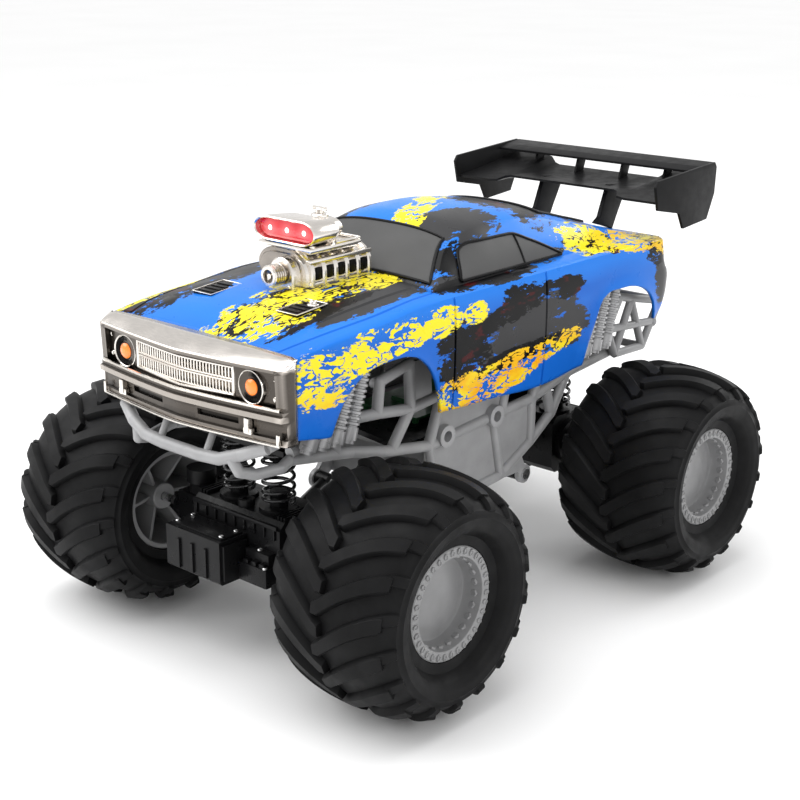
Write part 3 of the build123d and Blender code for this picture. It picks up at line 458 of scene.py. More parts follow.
def rubber(name):
    """Black moulded rubber: cloudy bloom, fine pebble and dull gloss."""
    material, tree, shader = new_finish(name)
    where = place_of(tree)
    bloom = cloud(tree, where, 38, 7, 0.62)
    tone = ramp(tree, bloom, [(0.32, (0.0035, 0.0035, 0.0037, 1)), (0.72, (0.0095, 0.0095, 0.01, 1))])
    gloss = uneven(tree, where, 90, 5, (0.42, 0.62))
    feed(tree, shader, {"Base Color": tone, "Roughness": gloss, "Specular IOR Level": 0.12})
    pebble = add(tree, "TexVoronoi", {"Vector": where, "Scale": 1500.0}).outputs["Distance"]
    relief(tree, shader, pebble, 0.25, 0.00006)
    return material


def plated(name, colour, dark, rough=(0.14, 0.26), edge=(0.9, 0.86, 0.8, 1)):
    """Satin plating: brushed streaks, cloudy gloss, painted shade in recesses and painted highlights on
    edges.
    """
    material, tree, shader = new_finish(name)
    where = place_of(tree)
    streaks = cloud(tree, place_of(tree, (1, 0.35, 14)), 220, 3)
    tone = ramp(tree, streaks, [(0.25, shade(colour, 0.93)), (0.75, shade(colour, 1.05))])
    bend = add(tree, "NewGeometry").outputs["Pointiness"]
    # Painted shade: hollows turn to the dark colour.
    tone = two_tone(tree, remap(tree, bend, 0.49, 0.44, 0, 1), tone, dark)
    # Painted highlight: sharp edges turn to the pale edge colour.
    tone = two_tone(tree, remap(tree, bend, 0.53, 0.6, 0, 1), tone, edge)
    gloss = uneven(tree, where, 70, 4, rough)
    feed(tree, shader, {"Base Color": tone, "Metallic": 1.0, "Roughness": gloss})
    relief(tree, shader, streaks, 0.06, 0.00003)
    return material


def tinted(name, colour, glow, power, lamps=()):
    """A lit coloured lens: painted shade deepening its colour towards its rim, moulded flutes and a soft
    glow round its lamps.
    """
    material, tree, shader = new_finish(name)
    where = place_of(tree)
    # Painted shade: the lens's colour darkens towards its rim, where the surface turns away from view.
    facing = add(tree, "LayerWeight", {"Blend": 0.35}).outputs["Facing"]
    spots = ramp(tree, cloud(tree, where, 130, 2), [(0.3, shade(glow, 0.75)), (0.7, glow)])
    if lamps:
        halos = [patch(tree, where, "X", lamp, (7.5, 7.5, 7.5)) for lamp in lamps]
        near = calculate(tree, "POWER", strongest(tree, halos), 2.0)
        spots = two_tone(tree, near, spots, (1.0, 0.42, 0.42, 1))
    feed(tree, shader, {
        "Base Color": ramp(tree, facing, [(0.0, colour), (1.0, shade(colour, 0.35))]),
        "Emission Color": spots,
        "Emission Strength": power,
        "Coat Weight": 0.8,
        "Coat Roughness": 0.05,
        "Roughness": uneven(tree, where, 300, 2, (0.12, 0.22)),
    })
    flutes = add(tree, "TexWave", {"Vector": where, "Scale": 260.0, "Distortion": 0.4}).outputs["Fac"]
    relief(tree, shader, flutes, 0.15, 0.0001)
    return material


def window_film(name):
    """Opaque tinted window: even grey with a faint sheen gradient and tiny surface ripple."""
    material, tree, shader = new_finish(name)
    where = place_of(tree)
    tone = ramp(tree, cloud(tree, where, 22, 5), [(0.3, grey(0.062)), (0.7, grey(0.08))])
    gloss = uneven(tree, where, 120, 3, (0.3, 0.42))
    feed(tree, shader, {"Base Color": tone, "Roughness": gloss, "Specular IOR Level": 0.2})
    relief(tree, shader, cloud(tree, where, 420, 2), 0.1, 0.00003)
    return material


# Paint

BLUE = (0.008, 0.125, 0.56, 1)
# LIGHT_BLUE is both the paler streaks in the paint and the painted highlight on the upper surfaces.
LIGHT_BLUE = (0.02, 0.21, 0.76, 1)
YELLOW = (0.90, 0.76, 0.025, 1)
ORANGE = (0.88, 0.40, 0.012, 1)
INK = (0.0025, 0.0025, 0.003, 1)
SMOKE = (0.04, 0.04, 0.042, 1)
MAROON = (0.05, 0.003, 0.004, 1)

# Each patch is its centre, its half lengths and, if it is slanted, its turn in degrees. Side patches repeat
# on both sides of the car and turn about X. Top patches lie across it and turn about Z.
SIDE_SMOKE = [
    ((73, 14, 166), (40, 66, 24), 6),
    ((73, 50, 161), (40, 30, 18)),
    ((68, 160, 172), (40, 20, 26)),
    ((62, 0, 203), (16, 90, 6)),
]
SIDE_INK = [
    ((73, -46, 163), (40, 32, 26)),
    ((73, -16, 178), (40, 46, 9), 6),
    ((73, 14, 187), (40, 34, 11), -3),
    ((73, 48, 185), (40, 26, 9)),
    ((73, -10, 152), (40, 70, 7), 5),
    ((66, 154, 192), (40, 26, 15)),
    ((52, -36, 213), (22, 22, 16), 30),
    ((68, -16, 200.5), (24, 60, 5)),
    ((64, 92, 204), (30, 40, 9), -6),
]
SIDE_YELLOW = [
    ((73, -158, 173), (40, 34, 21)),
    ((73, -126, 181), (40, 38, 14), 6),
    ((73, -94, 184), (40, 36, 12), 3),
    ((73, -66, 185), (40, 26, 11)),
    ((73, -36, 185), (40, 15, 9)),
    ((73, -46, 140), (40, 38, 18)),
    ((73, -8, 143), (40, 50, 15), 6),
    ((73, 36, 151), (40, 40, 10), 9),
    ((60, 88, 206), (34, 46, 13), -6),
    ((66, 132, 200), (34, 44, 10)),
    ((68, 160, 196), (34, 22, 12)),
]
TOP_SMOKE = [
    ((50, -100, 198), (15, 66, 40)),
    ((36, -66, 202), (34, 16, 40)),
    ((34, -8, 228), (28, 40, 30)),
]
TOP_INK = [
    ((-56, -112, 196), (28, 104, 40), -3),
    ((42, -124, 198), (12, 56, 40), 4),
    ((22, -112, 200), (26, 90, 40), -8),
    ((-46, -4, 226), (18, 50, 30)),
    ((14, 52, 226), (52, 34, 40)),
    ((0, 100, 214), (60, 54, 40)),
]
TOP_YELLOW = [
    ((22, -152, 196), (32, 44, 40), -14),
    ((18, -114, 200), (29, 52, 40), -8),
    ((24, -76, 202), (27, 36, 40)),
    ((-71, -146, 190), (9, 56, 40)),
    ((8, -18, 229), (14, 36, 30), 22),
    ((-12, 22, 230), (14, 46, 30), 34),
]


def patch(tree, where, axis, centre, reach, turn=0):
    """One soft oval patch: one at its centre and nothing at its edge."""
    angle = math.radians(turn)
    rotation = (angle, 0, 0) if axis == "X" else (0, 0, angle)
    place = [c * MM for c in centre]
    size = [r * MM for r in reach]
    inputs = {"Vector": where, "Location": place, "Rotation": rotation, "Scale": size}
    local = add(tree, "Mapping", inputs, vector_type="TEXTURE").outputs[0]
    return add(tree, "TexGradient", {"Vector": local}, gradient_type="SPHERICAL").outputs["Fac"]


def strongest(tree, values):
    """The largest of several values."""
    most = values[0]
    for value in values[1:]:
        most = calculate(tree, "MAXIMUM", most, value)
    return most


def torn_layer(tree, mirrored, where, side_patches, top_patches, tear):
    """A paint layer's mask: its patches, torn into ragged chips towards their edges."""
    shapes = [patch(tree, mirrored, "X", *one) for one in side_patches]
    shapes += [patch(tree, where, "Z", *one) for one in top_patches]
    total = calculate(tree, "MULTIPLY", strongest(tree, shapes), tear)
    return remap(tree, total, 0.27, 0.295, 0, 1)


def shards(tree, where, scale, bend):
    """Cells with uneven sides: a random value for each cell, and the distance to the cell's edge."""
    drift = add(tree, "TexNoise", {"Vector": where, "Scale": scale}).outputs["Color"]
    bent = add(tree, "Mix", {0: bend, 4: where, 5: drift}, data_type="VECTOR").outputs[1]
    cells = {"Vector": bent, "Scale": scale}
    value = add(tree, "TexVoronoi", cells).outputs["Color"]
    gap = add(tree, "TexVoronoi", cells, feature="DISTANCE_TO_EDGE").outputs["Distance"]
    return value, gap


def chipping(tree, where, scale, noise_scale, chip_depth, noise_depth):
    """A value round one that goes up and down from chip to chip and with fine noise."""
    value = remap(tree, shards(tree, where, scale, 0.014)[0], 0.2, 0.8, 1 - chip_depth, 1 + chip_depth)
    fine = remap(tree, cloud(tree, where, noise_scale, 9, 0.74, 0.4), 0.3, 0.7, -noise_depth, noise_depth)
    return calculate(tree, "ADD", value, fine)


def body_paint(name):
    """Gloss blue, paler on top as a painted highlight, under torn layers of smoke grey, black and yellow,
    with cracks in the yellow.
    """
    material, tree, shader = new_finish(name)
    where = add(tree, "TexCoord").outputs["Object"]
    x, y, z = add(tree, "SeparateXYZ", {"Vector": where}).outputs
    across = calculate(tree, "ABSOLUTE", x)
    mirrored = add(tree, "CombineXYZ", {"X": across, "Y": y, "Z": z}).outputs[0]
    slant = {"Vector": where, "Rotation": (math.radians(-18), 0, math.radians(8)), "Scale": (1, 0.42, 1)}
    streaks = add(tree, "Mapping", slant).outputs[0]

    # Painted highlight: the blue turns paler from just under the crease upwards, on the upper surfaces.
    top_painted_highlight = remap(tree, z, 0.182, 0.193, 0, 0.75)
    tone = two_tone(tree, top_painted_highlight, BLUE, LIGHT_BLUE)
    tone = two_tone(tree, remap(tree, cloud(tree, streaks, 22, 3), 0.5, 0.6, 0, 0.35), tone, LIGHT_BLUE)

    smoke_tear = chipping(tree, streaks, 210, 150, 0.25, 0.55)
    smoke = torn_layer(tree, mirrored, where, SIDE_SMOKE, TOP_SMOKE, smoke_tear)
    tone = two_tone(tree, smoke, tone, SMOKE)
    ink_tear = chipping(tree, streaks, 260, 120, 0.3, 1.0)
    stain = two_tone(tree, remap(tree, cloud(tree, streaks, 130, 4), 0.6, 0.66, 0, 1), INK, MAROON)
    ink = torn_layer(tree, mirrored, where, SIDE_INK, TOP_INK, ink_tear)
    tone = two_tone(tree, ink, tone, stain)

    low_down = remap(tree, z, 0.172, 0.146, 0, 1)
    tail = remap(tree, y, 0.085, 0.14, 0, 0.8)
    fleck = remap(tree, cloud(tree, streaks, 60, 5), 0.36, 0.6, 0, 1)
    warmth = calculate(tree, "MULTIPLY", calculate(tree, "MAXIMUM", low_down, tail), fleck)
    warm = two_tone(tree, warmth, YELLOW, ORANGE)

    gap = shards(tree, streaks, 170, 0.012)[1]
    width = remap(tree, cloud(tree, where, 60, 4, 0.7), 0.44, 0.66, 0.0, 0.17)
    crack = calculate(tree, "GREATER_THAN", gap, width)
    scratch = remap(tree, cloud(tree, streaks, 330, 3), 0.36, 0.375, 0, 1)
    yellow_tear = chipping(tree, streaks, 190, 110, 0.3, 0.85)
    yellow = torn_layer(tree, mirrored, where, SIDE_YELLOW, TOP_YELLOW, yellow_tear)
    for holes in (crack, scratch):
        yellow = calculate(tree, "MULTIPLY", yellow, holes)

    feed(tree, shader, {
        "Base Color": two_tone(tree, yellow, tone, warm),
        "Roughness": uneven(tree, where, 90, 4, (0.26, 0.36)),
        "Specular IOR Level": 0.12,
        "Coat Weight": 0.06,
        "Coat Roughness": 0.08,
    })
    relief(tree, shader, cloud(tree, where, 900, 3), 0.12, 0.00003)
    return material


# Moulded and metal finishes: colour, least and most roughness, and what sets each apart
MOULDED = {
    "rim_grey": ((0.22, 0.22, 0.223), (0.34, 0.48), {"metallic": 0.1}),
    "frame_grey": ((0.32, 0.32, 0.325), (0.32, 0.46), {"coat": 0.1}),
    "pipe_grey": ((0.34, 0.34, 0.345), (0.24, 0.38), {"metallic": 0.45, "coat": 0.2}),
    "black_plastic": ((0.006, 0.006, 0.0065), (0.24, 0.4), {"specular": 0.16}),
    "wing_black": ((0.0085, 0.0085, 0.009), (0.36, 0.5), {"specular": 0.1}),
    "spring_black": ((0.03, 0.03, 0.031), (0.18, 0.3), {"metallic": 0.6, "coat": 0.4}),
    "steel": ((0.55, 0.55, 0.55), (0.2, 0.34), {"metallic": 1.0}),
    "gear_nylon": ((0.72, 0.71, 0.66), (0.3, 0.45), {}),
    "battery_sleeve": ((0.03, 0.22, 0.06), (0.2, 0.35), {"coat": 0.4}),
    "board_green": ((0.01, 0.13, 0.03), (0.3, 0.5), {"coat": 0.3}),
    "trim_black": ((0.004, 0.004, 0.0045), (0.24, 0.38), {"specular": 0.14}),
}
FINISHES = {
    name: moulded(name, colour, rough, **extra) for name, (colour, rough, extra) in MOULDED.items()
}
FINISHES |= {
    "tyre": rubber("tyre"),
    "body_paint": body_paint("body_paint"),
    "glazing": window_film("glazing"),
    # In each plated finish the second colour is painted shade in hollows, and the edge colour is a painted
    # highlight on sharp edges.
    "bright_trim": plated("bright_trim", (0.78, 0.735, 0.69), (0.16, 0.14, 0.12, 1)),
    # smoked_trim is a darkened copy of the bright plating: painted shade and dark reflection on the chrome
    # nose face and the blower's front cover.
    "smoked_trim": plated(
        "smoked_trim", (0.085, 0.075, 0.066), (0.02, 0.018, 0.016, 1), (0.2, 0.32), (0.7, 0.64, 0.58, 1)),
    "grille_silver": plated("grille_silver", (0.70, 0.65, 0.60), (0.10, 0.09, 0.08, 1), (0.22, 0.34)),
    "amber_lens": tinted("amber_lens", (1.0, 0.22, 0.02, 1), (1.0, 0.26, 0.03, 1), 0.55),
    "red_lens": tinted("red_lens", (0.7, 0.012, 0.025, 1), (0.66, 0.012, 0.025, 1), 0.5, SCOOP_LAMPS),
    "lamp_glow": tinted("lamp_glow", (1.0, 0.62, 0.6, 1), (1.0, 0.72, 0.7, 1), 4.0),
}


# Wheels

def tyre_curve(radius, half_width, degrees):
    """A point (x, radius) on a tyre's section, with 90 degrees at the crown and 0 at its widest."""
    middle = (radius + BEAD_RADIUS) / 2
    angle = math.radians(degrees)
    wide = abs(math.cos(angle)) ** (2 / SECTION_POWER)
    tall = abs(math.sin(angle)) ** (2 / SECTION_POWER)
    x = math.copysign(half_width * wide, math.cos(angle))
    return x, middle + math.copysign((radius - middle) * tall, math.sin(angle))


def around(x, radius, turn):
    """A point on the wheel, at an angle from its top towards its front."""
    return Vector((x, -radius * math.sin(turn), radius * math.cos(turn)))


def carcass_profile():
    """The tyre's skin from bead to bead, with two thin ridges on each side wall."""
    profile = []
    for step in range(-38, 219, 4):
        x, radius = tyre_curve(TYRE_RADIUS - LUG_HEIGHT, TYRE_HALF - LUG_HEIGHT / 2, step)
        ridge = any(abs(abs(90 - step) - place) < 2.1 for place in (76, 88, 112))
        out = 0.55 if ridge else 0.0
        profile.append((x + math.copysign(out, x), radius + (0.2 if ridge else 0)))
    first, last = profile[0], profile[-1]
    lip = [(1.0, 0.2), (6, 0.1), (9, 3)]
    bead = [(last[0] + inward, BEAD_RADIUS + out) for inward, out in lip]
    back = [(first[0] - inward, BEAD_RADIUS + out) for inward, out in reversed(lip)]
    return profile + bead + back + [profile[0]]


def lug_rows(side, turn, angles, half, height):
    """Cross sections of one lug, laid along the tyre's section from its crown to its shoulder."""
    shape = [(-1.15, -0.12), (-1.0, 0.7), (-0.8, 1.0), (0.8, 1.0), (1.0, 0.7), (1.15, -0.12)]
    rows = []
    for degrees, width in zip(angles, half):
        foot = tyre_curve(TYRE_RADIUS - LUG_HEIGHT, TYRE_HALF - LUG_HEIGHT / 2, degrees)
        crest = tyre_curve(TYRE_RADIUS, TYRE_HALF, degrees)
        reach = abs(foot[0]) / TYRE_HALF * math.copysign(1, math.cos(math.radians(degrees)))
        sweep = LUG_SWEEP * (1 - (1 - max(reach, 0)) ** 1.5) - 0.02
        row = []
        for across, up in shape:
            x, radius = mix(foot, crest, up * height)
            row.append(around(side * x, radius, turn - sweep + across * width / radius))
        rows.append(row)
    return rows


def build_tyre(bm):
    """Carcass, swept chevron lugs and a lower stepped block at each lug's shoulder end."""
    turned(bm, carcass_profile(), Matrix.Identity(4), 120)
    long_angles = [92, 89, 84, 78, 72, 66, 60, 54, 48, 42, 37, 33]
    long_half = [3.2] + [LUG_HALF] * 9 + [4.3, 3.8]
    step_angles = [38, 33, 27, 21, 16, 12]
    step_half = [2.9, 3.0, 3.0, 2.9, 2.7, 2.3]
    for side in SIDES:
        for number in range(LUG_COUNT):
            turn = 2 * math.pi * (number + (0 if side > 0 else 0.5)) / LUG_COUNT
            skin(bm, lug_rows(side, turn, long_angles, long_half, 1.0), closed=True, ends=True)
            skin(bm, lug_rows(side, turn - 0.035, step_angles, step_half, 0.72), closed=True, ends=True)


def build_rim(bm):
    """Beadlock ring, deep dish, barrel, rear ribs and hub, with oval bolts and a row of wall bosses."""
    profile = [
        (23.6, 0), (23.4, 9), (22.4, 17), (21.6, 20.4), (22.2, 22.2), (24.5, 23.3), (31.8, 24.4),
        (32.6, 24.7), (RIM_FACE, 25.2), (RIM_FACE, 29.6), (32.5, 30.2), (30.6, 30.35), (-30.4, 30.35),
        (-31, 29.8), (-31, 27.4), (-30.4, 26.9), (18.4, 26.6), (19.2, 25.4), (19.6, 20), (20.2, 8.4),
        (19.8, 8.0), (-23.4, 8.0), (-24, 7.4), (-24, 2.7), (-6, 2.7), (-6, 0),
    ]
    turned(bm, profile, Matrix.Identity(4), 96)
    for number in range(6):
        spoke = Matrix.Rotation(math.radians(60 * number + 30), 4, "X")
        outline = [(-20, 7.6), (20, 7.6), (20, 26.9), (-26, 26.9)]
        plate(bm, outline, -1, 1, spoke @ FRONT_FACING, 0.3)
    bolt = [(-0.4, 1.9), (0.35, 1.9), (0.75, 1.65), (0.8, 1.3), (0.45, 1.05), (0.45, 0.0)]
    for number in range(BOLT_COUNT):
        spin = Matrix.Rotation(2 * math.pi * number / BOLT_COUNT, 4, "X")
        oval = Matrix.Translation((RIM_FACE, 0, BOLT_CIRCLE)) @ Matrix.Diagonal((1, 0.72, 1, 1))
        turned(bm, bolt, spin @ oval, 16)
    boss = [(-0.6, 2.0), (0.5, 2.0), (0.9, 1.6), (0.9, 0.0)]
    for number in range(24):
        spin = Matrix.Rotation(2 * math.pi * (number + 0.5) / 24, 4, "X")
        inward = Matrix.Translation((28.2, 0, 24.1)) @ Matrix.Rotation(math.radians(98), 4, "Y")
        turned(bm, boss, spin @ inward, 6)


def make_wheels():
    """Four tyres and rims, each centred on its CAD tyre."""
    for name, (side, body) in WHEELS.items():
        low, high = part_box(name + "_tyre")
        centre = (low + high) / (2 * MM)
        place = Matrix.Translation(centre) @ Matrix.Diagonal((side, 1, 1, 1))
        for part, builder, finish in (("tyre", build_tyre, "tyre"), ("rim", build_rim, "rim_grey")):
            piece(f"{name}_{part}_detail", builder, finish, body, [f"{name}_{part}"], 32, place)


# Body

def side_x(y, z):
    """How far the body side stands out, with a swelling over each wheel arch."""
    wide = smooth_line(SIDE_X, z)
    wide += smooth_line([(-173, -1.4), (-140, 0), (120, 0), (156, -1.4), (164, -3.2), (169, -7)], y)
    for centre, reach in (FRONT_ARCH, REAR_ARCH):
        off = math.hypot(y - centre, z - ARCH_Z) - reach
        wide += 1.5 * math.exp(-((off - 2.5) / 4.5) ** 2)
    return wide


def rear_shift(y, z):
    """Moves the tail's stations so that its bumper stands out below a flatter panel."""
    if y <= 140:
        return y
    limit = smooth_line(TAIL_Y, z)
    return 140 + (y - 140) * (limit - 140) / (BODY_REAR - 140)


def top_z(x, y):
    """Height of the hood, cowl or boot lid."""
    edge = smooth_line(CREASE_Z, y) + 1.0
    centre = smooth_line(CENTRE_Z, y)
    dome = edge + (centre - edge) * (1 - (abs(x) / 72) ** 2.4)
    return dome + 0.8 * smooth_line([(-160, 0), (-140, 1), (-70, 1), (-58, 0)], y) * (abs(x) < 52)


def body_station(y):
    """Half a cross section of the body, from its lower edge to its middle."""
    low, crease = smooth_line(LOWER_Z, y), smooth_line(CREASE_Z, y)
    in_gap = any(abs(y - gap) < GAP_WIDTH * 0.7 for gap in (DOOR_FRONT, DOOR_REAR))
    points = []
    for share in (0, 0.03, 0.08, 0.16, 0.26, 0.37, 0.48, 0.58, 0.68, 0.76, 0.84, 0.9, 0.95, 0.98):
        z = low + (crease - low) * share
        x = side_x(y, z) - (GAP_DEPTH if in_gap else 0)
        points.append((x, rear_shift(y, z), z))
    wide = side_x(y, crease)
    points.append((wide - 0.3, rear_shift(y, crease), crease))
    points.append((wide - 1.0, rear_shift(y, crease), crease + 0.6))
    seam = smooth_line([(-174, 57.5), (-150, 62.5), (-110, 64.5), (-60, 63)], y)
    deep = 0.9 if y < -61 else 0.0
    steps = [(0.9, 0), (0.35, deep), (-0.35, deep), (-0.9, 0)]
    for x, drop in [(wide - 3.5, 0.2)] + [(seam + off, drop) for off, drop in steps]:
        points.append((x, rear_shift(y, crease), top_z(x, y) - drop))
    for x in (56, 52.5, 51.5, 46, 40, 34, 28, 22, 16, 10, 5, 0):
        points.append((x, rear_shift(y, crease), top_z(x, y)))
    return points


def mirrored_row(half):
    """A full row from half of one that ends on the middle plane."""
    return half + [(-x, y, z) for x, y, z in reversed(half[:-1])]


def build_body(bm):
    """The car's painted lower shell, from the nose opening to the closed tail."""
    gaps = []
    for gap in (DOOR_FRONT, DOOR_REAR):
        gaps += [gap - GAP_WIDTH, gap - GAP_WIDTH / 2, gap + GAP_WIDTH / 2, gap + GAP_WIDTH]
    arch_ends = [y for y, z in LOWER_Z[1:-2]]
    stations = spread(BODY_FRONT, BODY_REAR, 3.2, gaps + arch_ends + [166.5, 168, 168.7])
    rows = [mirrored_row(body_station(y)) for y in stations]
    last = rows[-1]
    for share in (0.9, 0.7, 0.45, 0.2, 0.02):
        rows.append([(x * share, y, z) for x, y, z in last])
    skin(bm, rows)


def cabin_half(y):
    """Half a cross section of the glasshouse, from its foot to the middle of the roof."""
    foot_x = smooth_line([(-62, 64), (0, 62.4), (60, 61), (120, 58), (150, 56)], y)
    foot_z = top_z(foot_x, y) - 1.2
    rail_x, rail_z = smooth_line(RAIL_X, y), smooth_line(RAIL_Z, y)
    points = []
    for share in (0, 0.08, 0.2, 0.35, 0.5, 0.65, 0.8, 0.92, 1.0):
        bulge = 1.4 * math.sin(math.pi * share) * min(1, max(0, rail_z - foot_z) / 15)
        points.append((foot_x + (rail_x - foot_x) * share + bulge, y, foot_z + (rail_z - foot_z) * share))
    for share in (0.985, 0.95, 0.9, 0.83, 0.74, 0.64, 0.52, 0.38, 0.2, 0):
        points.append((rail_x * share, y, roof_height(rail_x * share, y)))
    return points


def roof_height(x, y):
    """Height of the roof, screen or rear glass across the car."""
    rail_x, rail_z, roof_z = (smooth_line(line, y) for line in (RAIL_X, RAIL_Z, ROOF_Z))
    share = min(1.0, abs(x) / rail_x)
    return rail_z + (roof_z - rail_z) * (1 - share ** 2.6) ** 0.85


def side_glass_x(y, z):
    """How far out the glasshouse side stands at a height."""
    half = cabin_half(y)[:9]
    return smooth_line([(point[2], point[0]) for point in half], z)


def build_cabin(bm):
    """The painted roof, pillars and buttresses."""
    skin(bm, [mirrored_row(cabin_half(y)) for y in spread(-62, 150, 3.0)])


def screen_half(y):
    """Half width of the windscreen glass."""
    return smooth_line(RAIL_X, y) - 4.4


def rear_glass_half(y):
    """Half width of the rear window glass."""
    return smooth_line([(66, 37), (122, 31)], y)


def side_glass_top(y):
    """Upper edge of a side window."""
    return smooth_line([(-36, 201.6), (-26, 216), (-16, 218.4), (20, 218.2), (34, 213.5), (60, 201.8)], y)


def glass_panes():
    """Each pane as rows of points, slightly proud of the cabin."""
    proud = 0.45
    panes = []
    for low, high, half in ((-58, -29, screen_half), (66, 122, rear_glass_half)):
        rows = []
        for y in spread(low, high, 3.0):
            across = [half(y) * t / 10 for t in range(-10, 11)]
            rows.append([(x, y, roof_height(x, y) + proud) for x in across])
        panes.append(rows)
    for side in SIDES:
        rows = []
        for y in spread(-35.4, 59.4, 2.6):
            top = side_glass_top(y)
            heights = [GLASS_BASE_Z + (top - GLASS_BASE_Z) * t / 8 for t in range(9)]
            rows.append([(side * (side_glass_x(y, z) + proud), y, z) for z in heights])
        panes.append(rows)
    return panes


def build_glazing(bm):
    """All window panes."""
    for rows in glass_panes():
        skin(bm, rows)


def build_window_trim(bm):
    """A slim black bead around each pane, and the post between the side windows."""
    for rows in glass_panes():
        edge = [rows[0][0]] + [row[0] for row in rows[1:-1]] + list(rows[-1])
        edge += [row[-1] for row in reversed(rows[1:-1])] + list(reversed(rows[0]))
        tube(bm, edge, 0.95, 8)
    for side in SIDES:
        top = side_glass_top(GLASS_POST_Y)
        heights = [GLASS_BASE_Z + (top - GLASS_BASE_Z) * t / 5 for t in range(6)]
        post = [(side * (side_glass_x(GLASS_POST_Y, z) + 0.4), GLASS_POST_Y, z) for z in heights]
        tube(bm, post, 0.8, 8)


def build_hood_vents(bm):
    """A framed louvre on each side of the hood."""
    for side in SIDES:
        centre = Vector((side * VENT_X, VENT_Y, top_z(VENT_X, VENT_Y) + 0.3))
        tilt = Matrix.Translation(centre) @ Matrix.Rotation(VENT_SLOPE, 4, "X")
        plate(bm, rectangle((-7.4, -11), (7.4, 11)), -1.5, 0.2, tilt, 0.4)
        for number in range(4):
            y = -8.6 + number * 4.6
            plate(bm, rectangle((-6, y), (6, y + 1.6)), 0.1, 0.7, tilt, 0.25)


def build_hood_pins(bm):
    """The bright frame round each louvre and the domed pin beside it."""
    for side in SIDES:
        height = top_z(VENT_X, VENT_Y) + 0.5
        loop = rectangle((-7.6, -11.2), (7.6, 11.2)) + [(-7.6, -11.2)]
        rise = math.tan(VENT_SLOPE)
        frame_line = [(side * VENT_X + x, VENT_Y + y, height + y * rise) for x, y in dense(loop, 3)]
        tube(bm, frame_line, 0.35, 8)
    dome = [(-1, 3.2), (0.6, 3.2), (1.0, 2.8), (1.1, 2.0), (2.2, 1.8), (2.8, 1.2), (3.0, 0)]
    turned(bm, dome, towards_top(36, -126, top_z(36, -126) + 0.4), 24)


# Nose

def nose_y(x):
    """Plan of the nose, bowed forward to a point in the middle."""
    return -190 + 8.6 * (abs(x) / NOSE_HALF) ** 1.35


def nose_depth(x, z):
    """How far the nose's face stands in or out from its plan."""
    wide = abs(x)
    if z < 147:
        return -0.6
    if z < 156.2:
        slot = 14 < wide < 41 and 150.6 < z < 153.4
        return 2.4 if slot else 0.8
    if z < 159.4:
        return -2.6
    if z < 161.6:
        return -1.0
    if wide < 37.6 and 163.6 < z < 179.6:
        return 5.2
    if wide < 66 and z < 180.6:
        return 3.0
    return 0.0


def nose_row(z):
    """One level row round the nose, from its right rear end to its left rear end."""
    steps = [side * x for side in SIDES for x in (13.8, 14.2, 40.8, 41.2, 37.4, 37.8, 65.8, 66.2)]
    lean = (z - 163) * 0.05
    across = spread(-NOSE_HALF, NOSE_HALF, 2.6, steps)
    front = [(x, nose_y(x) + nose_depth(x, z) - lean, z) for x in across]
    corner = [(71.9, -180.2, z), (72.3, -178, z), (72.2, -175, z), (71.8, BODY_FRONT - 0.2, z)]
    return [(-x, y, w) for x, y, w in reversed(corner)] + front + corner


def build_nose_face(bm):
    """The recessed face, its blade and the slotted lower panel, wrapped round the corners."""
    skin(bm, [nose_row(z) for z in NOSE_LEVELS])


def build_nose_cap(bm):
    """The bright cap that slopes from the face back up to the hood."""
    edge = nose_row(NOSE_LEVELS[-1])
    rows = []
    for share in (0, 0.05, 0.15, 0.3, 0.5, 0.75, 1.0):
        row = []
        for x, y, z in edge:
            high = top_z(x, BODY_FRONT) + 0.15 if abs(x) < 70 else 187.2
            point = mix((x, y, z), (x, BODY_FRONT - 0.2, high), share)
            row.append((point[0], point[1], point[2] + 0.8 * math.sin(math.pi * share)))
        rows.append(row)
    skin(bm, rows)


def build_nose_trim(bm):
    """Clips under the lamps, end tabs on the lower lip, small screws and the grille's frame."""
    for side in SIDES:
        x = side * LAMP_X
        y = nose_y(x)
        brick(bm, (x - 1.6, y - 2.4, 148), (x + 1.6, y + 1, 155.6), 0.7)
        brick(bm, (x - 3.0, y - 1.6, 147), (x + 3.0, y + 1, 150.4), 0.7)
        side_brick(bm, side, (67, 69), (nose_y(67) - 1.6, nose_y(67)), (144, 150), 0.5)
        for z in (166.5, 177):
            place = towards_front(side * 63.4, nose_y(63.4) + 3.2, z)
            turned(bm, [(-1, 1.5), (0.6, 1.5), (1.0, 1.1), (0.7, 0.5), (0.7, 0)], place, 12)
    frame_line = [
        (-37.4, 164.6), (0, 163.2), (37.4, 164.6), (37.4, 179), (0, 178.6), (-37.4, 179), (-37.4, 164.6),
    ]
    tube(bm, [(x, nose_y(x) + 2.6, z) for x, z in dense(frame_line, 4)], 0.8, 8)
    for z, out, radius in ((162.2, -0.6, 0.9), (143.9, -1.0, 0.6)):
        tube(bm, [(x, nose_y(x) + out, z) for x in spread(-69, 69, 5)], radius, 8)


def build_grille(bm):
    """A pointed grille of fine upright bars in two rows, with four level bars."""
    back = []
    for z in (164.4, 179):
        back.append([(x, nose_y(x) + 4.6, z) for x in spread(-GRILLE_HALF, GRILLE_HALF, 4)])
    skin(bm, back)
    for number in range(-17, 18):
        x = number * GRILLE_PITCH
        y = nose_y(x) + 3.6
        for low, high in ((165.2, 171.0), (172.6, 178.4)):
            brick(bm, (x - 0.5, y - 0.7, low), (x + 0.5, y + 1.2, high), 0.2)
    for z in (164.9, 171.2, 172.6, 178.6):
        tube(bm, [(x, nose_y(x) + 2.9, z) for x in spread(-GRILLE_HALF, GRILLE_HALF, 3)], 0.55, 8)


def lamp_place(side):
    """Where a head lamp sits, facing forward."""
    return towards_front(side * LAMP_X, nose_y(LAMP_X) + 3.2, LAMP_Z)


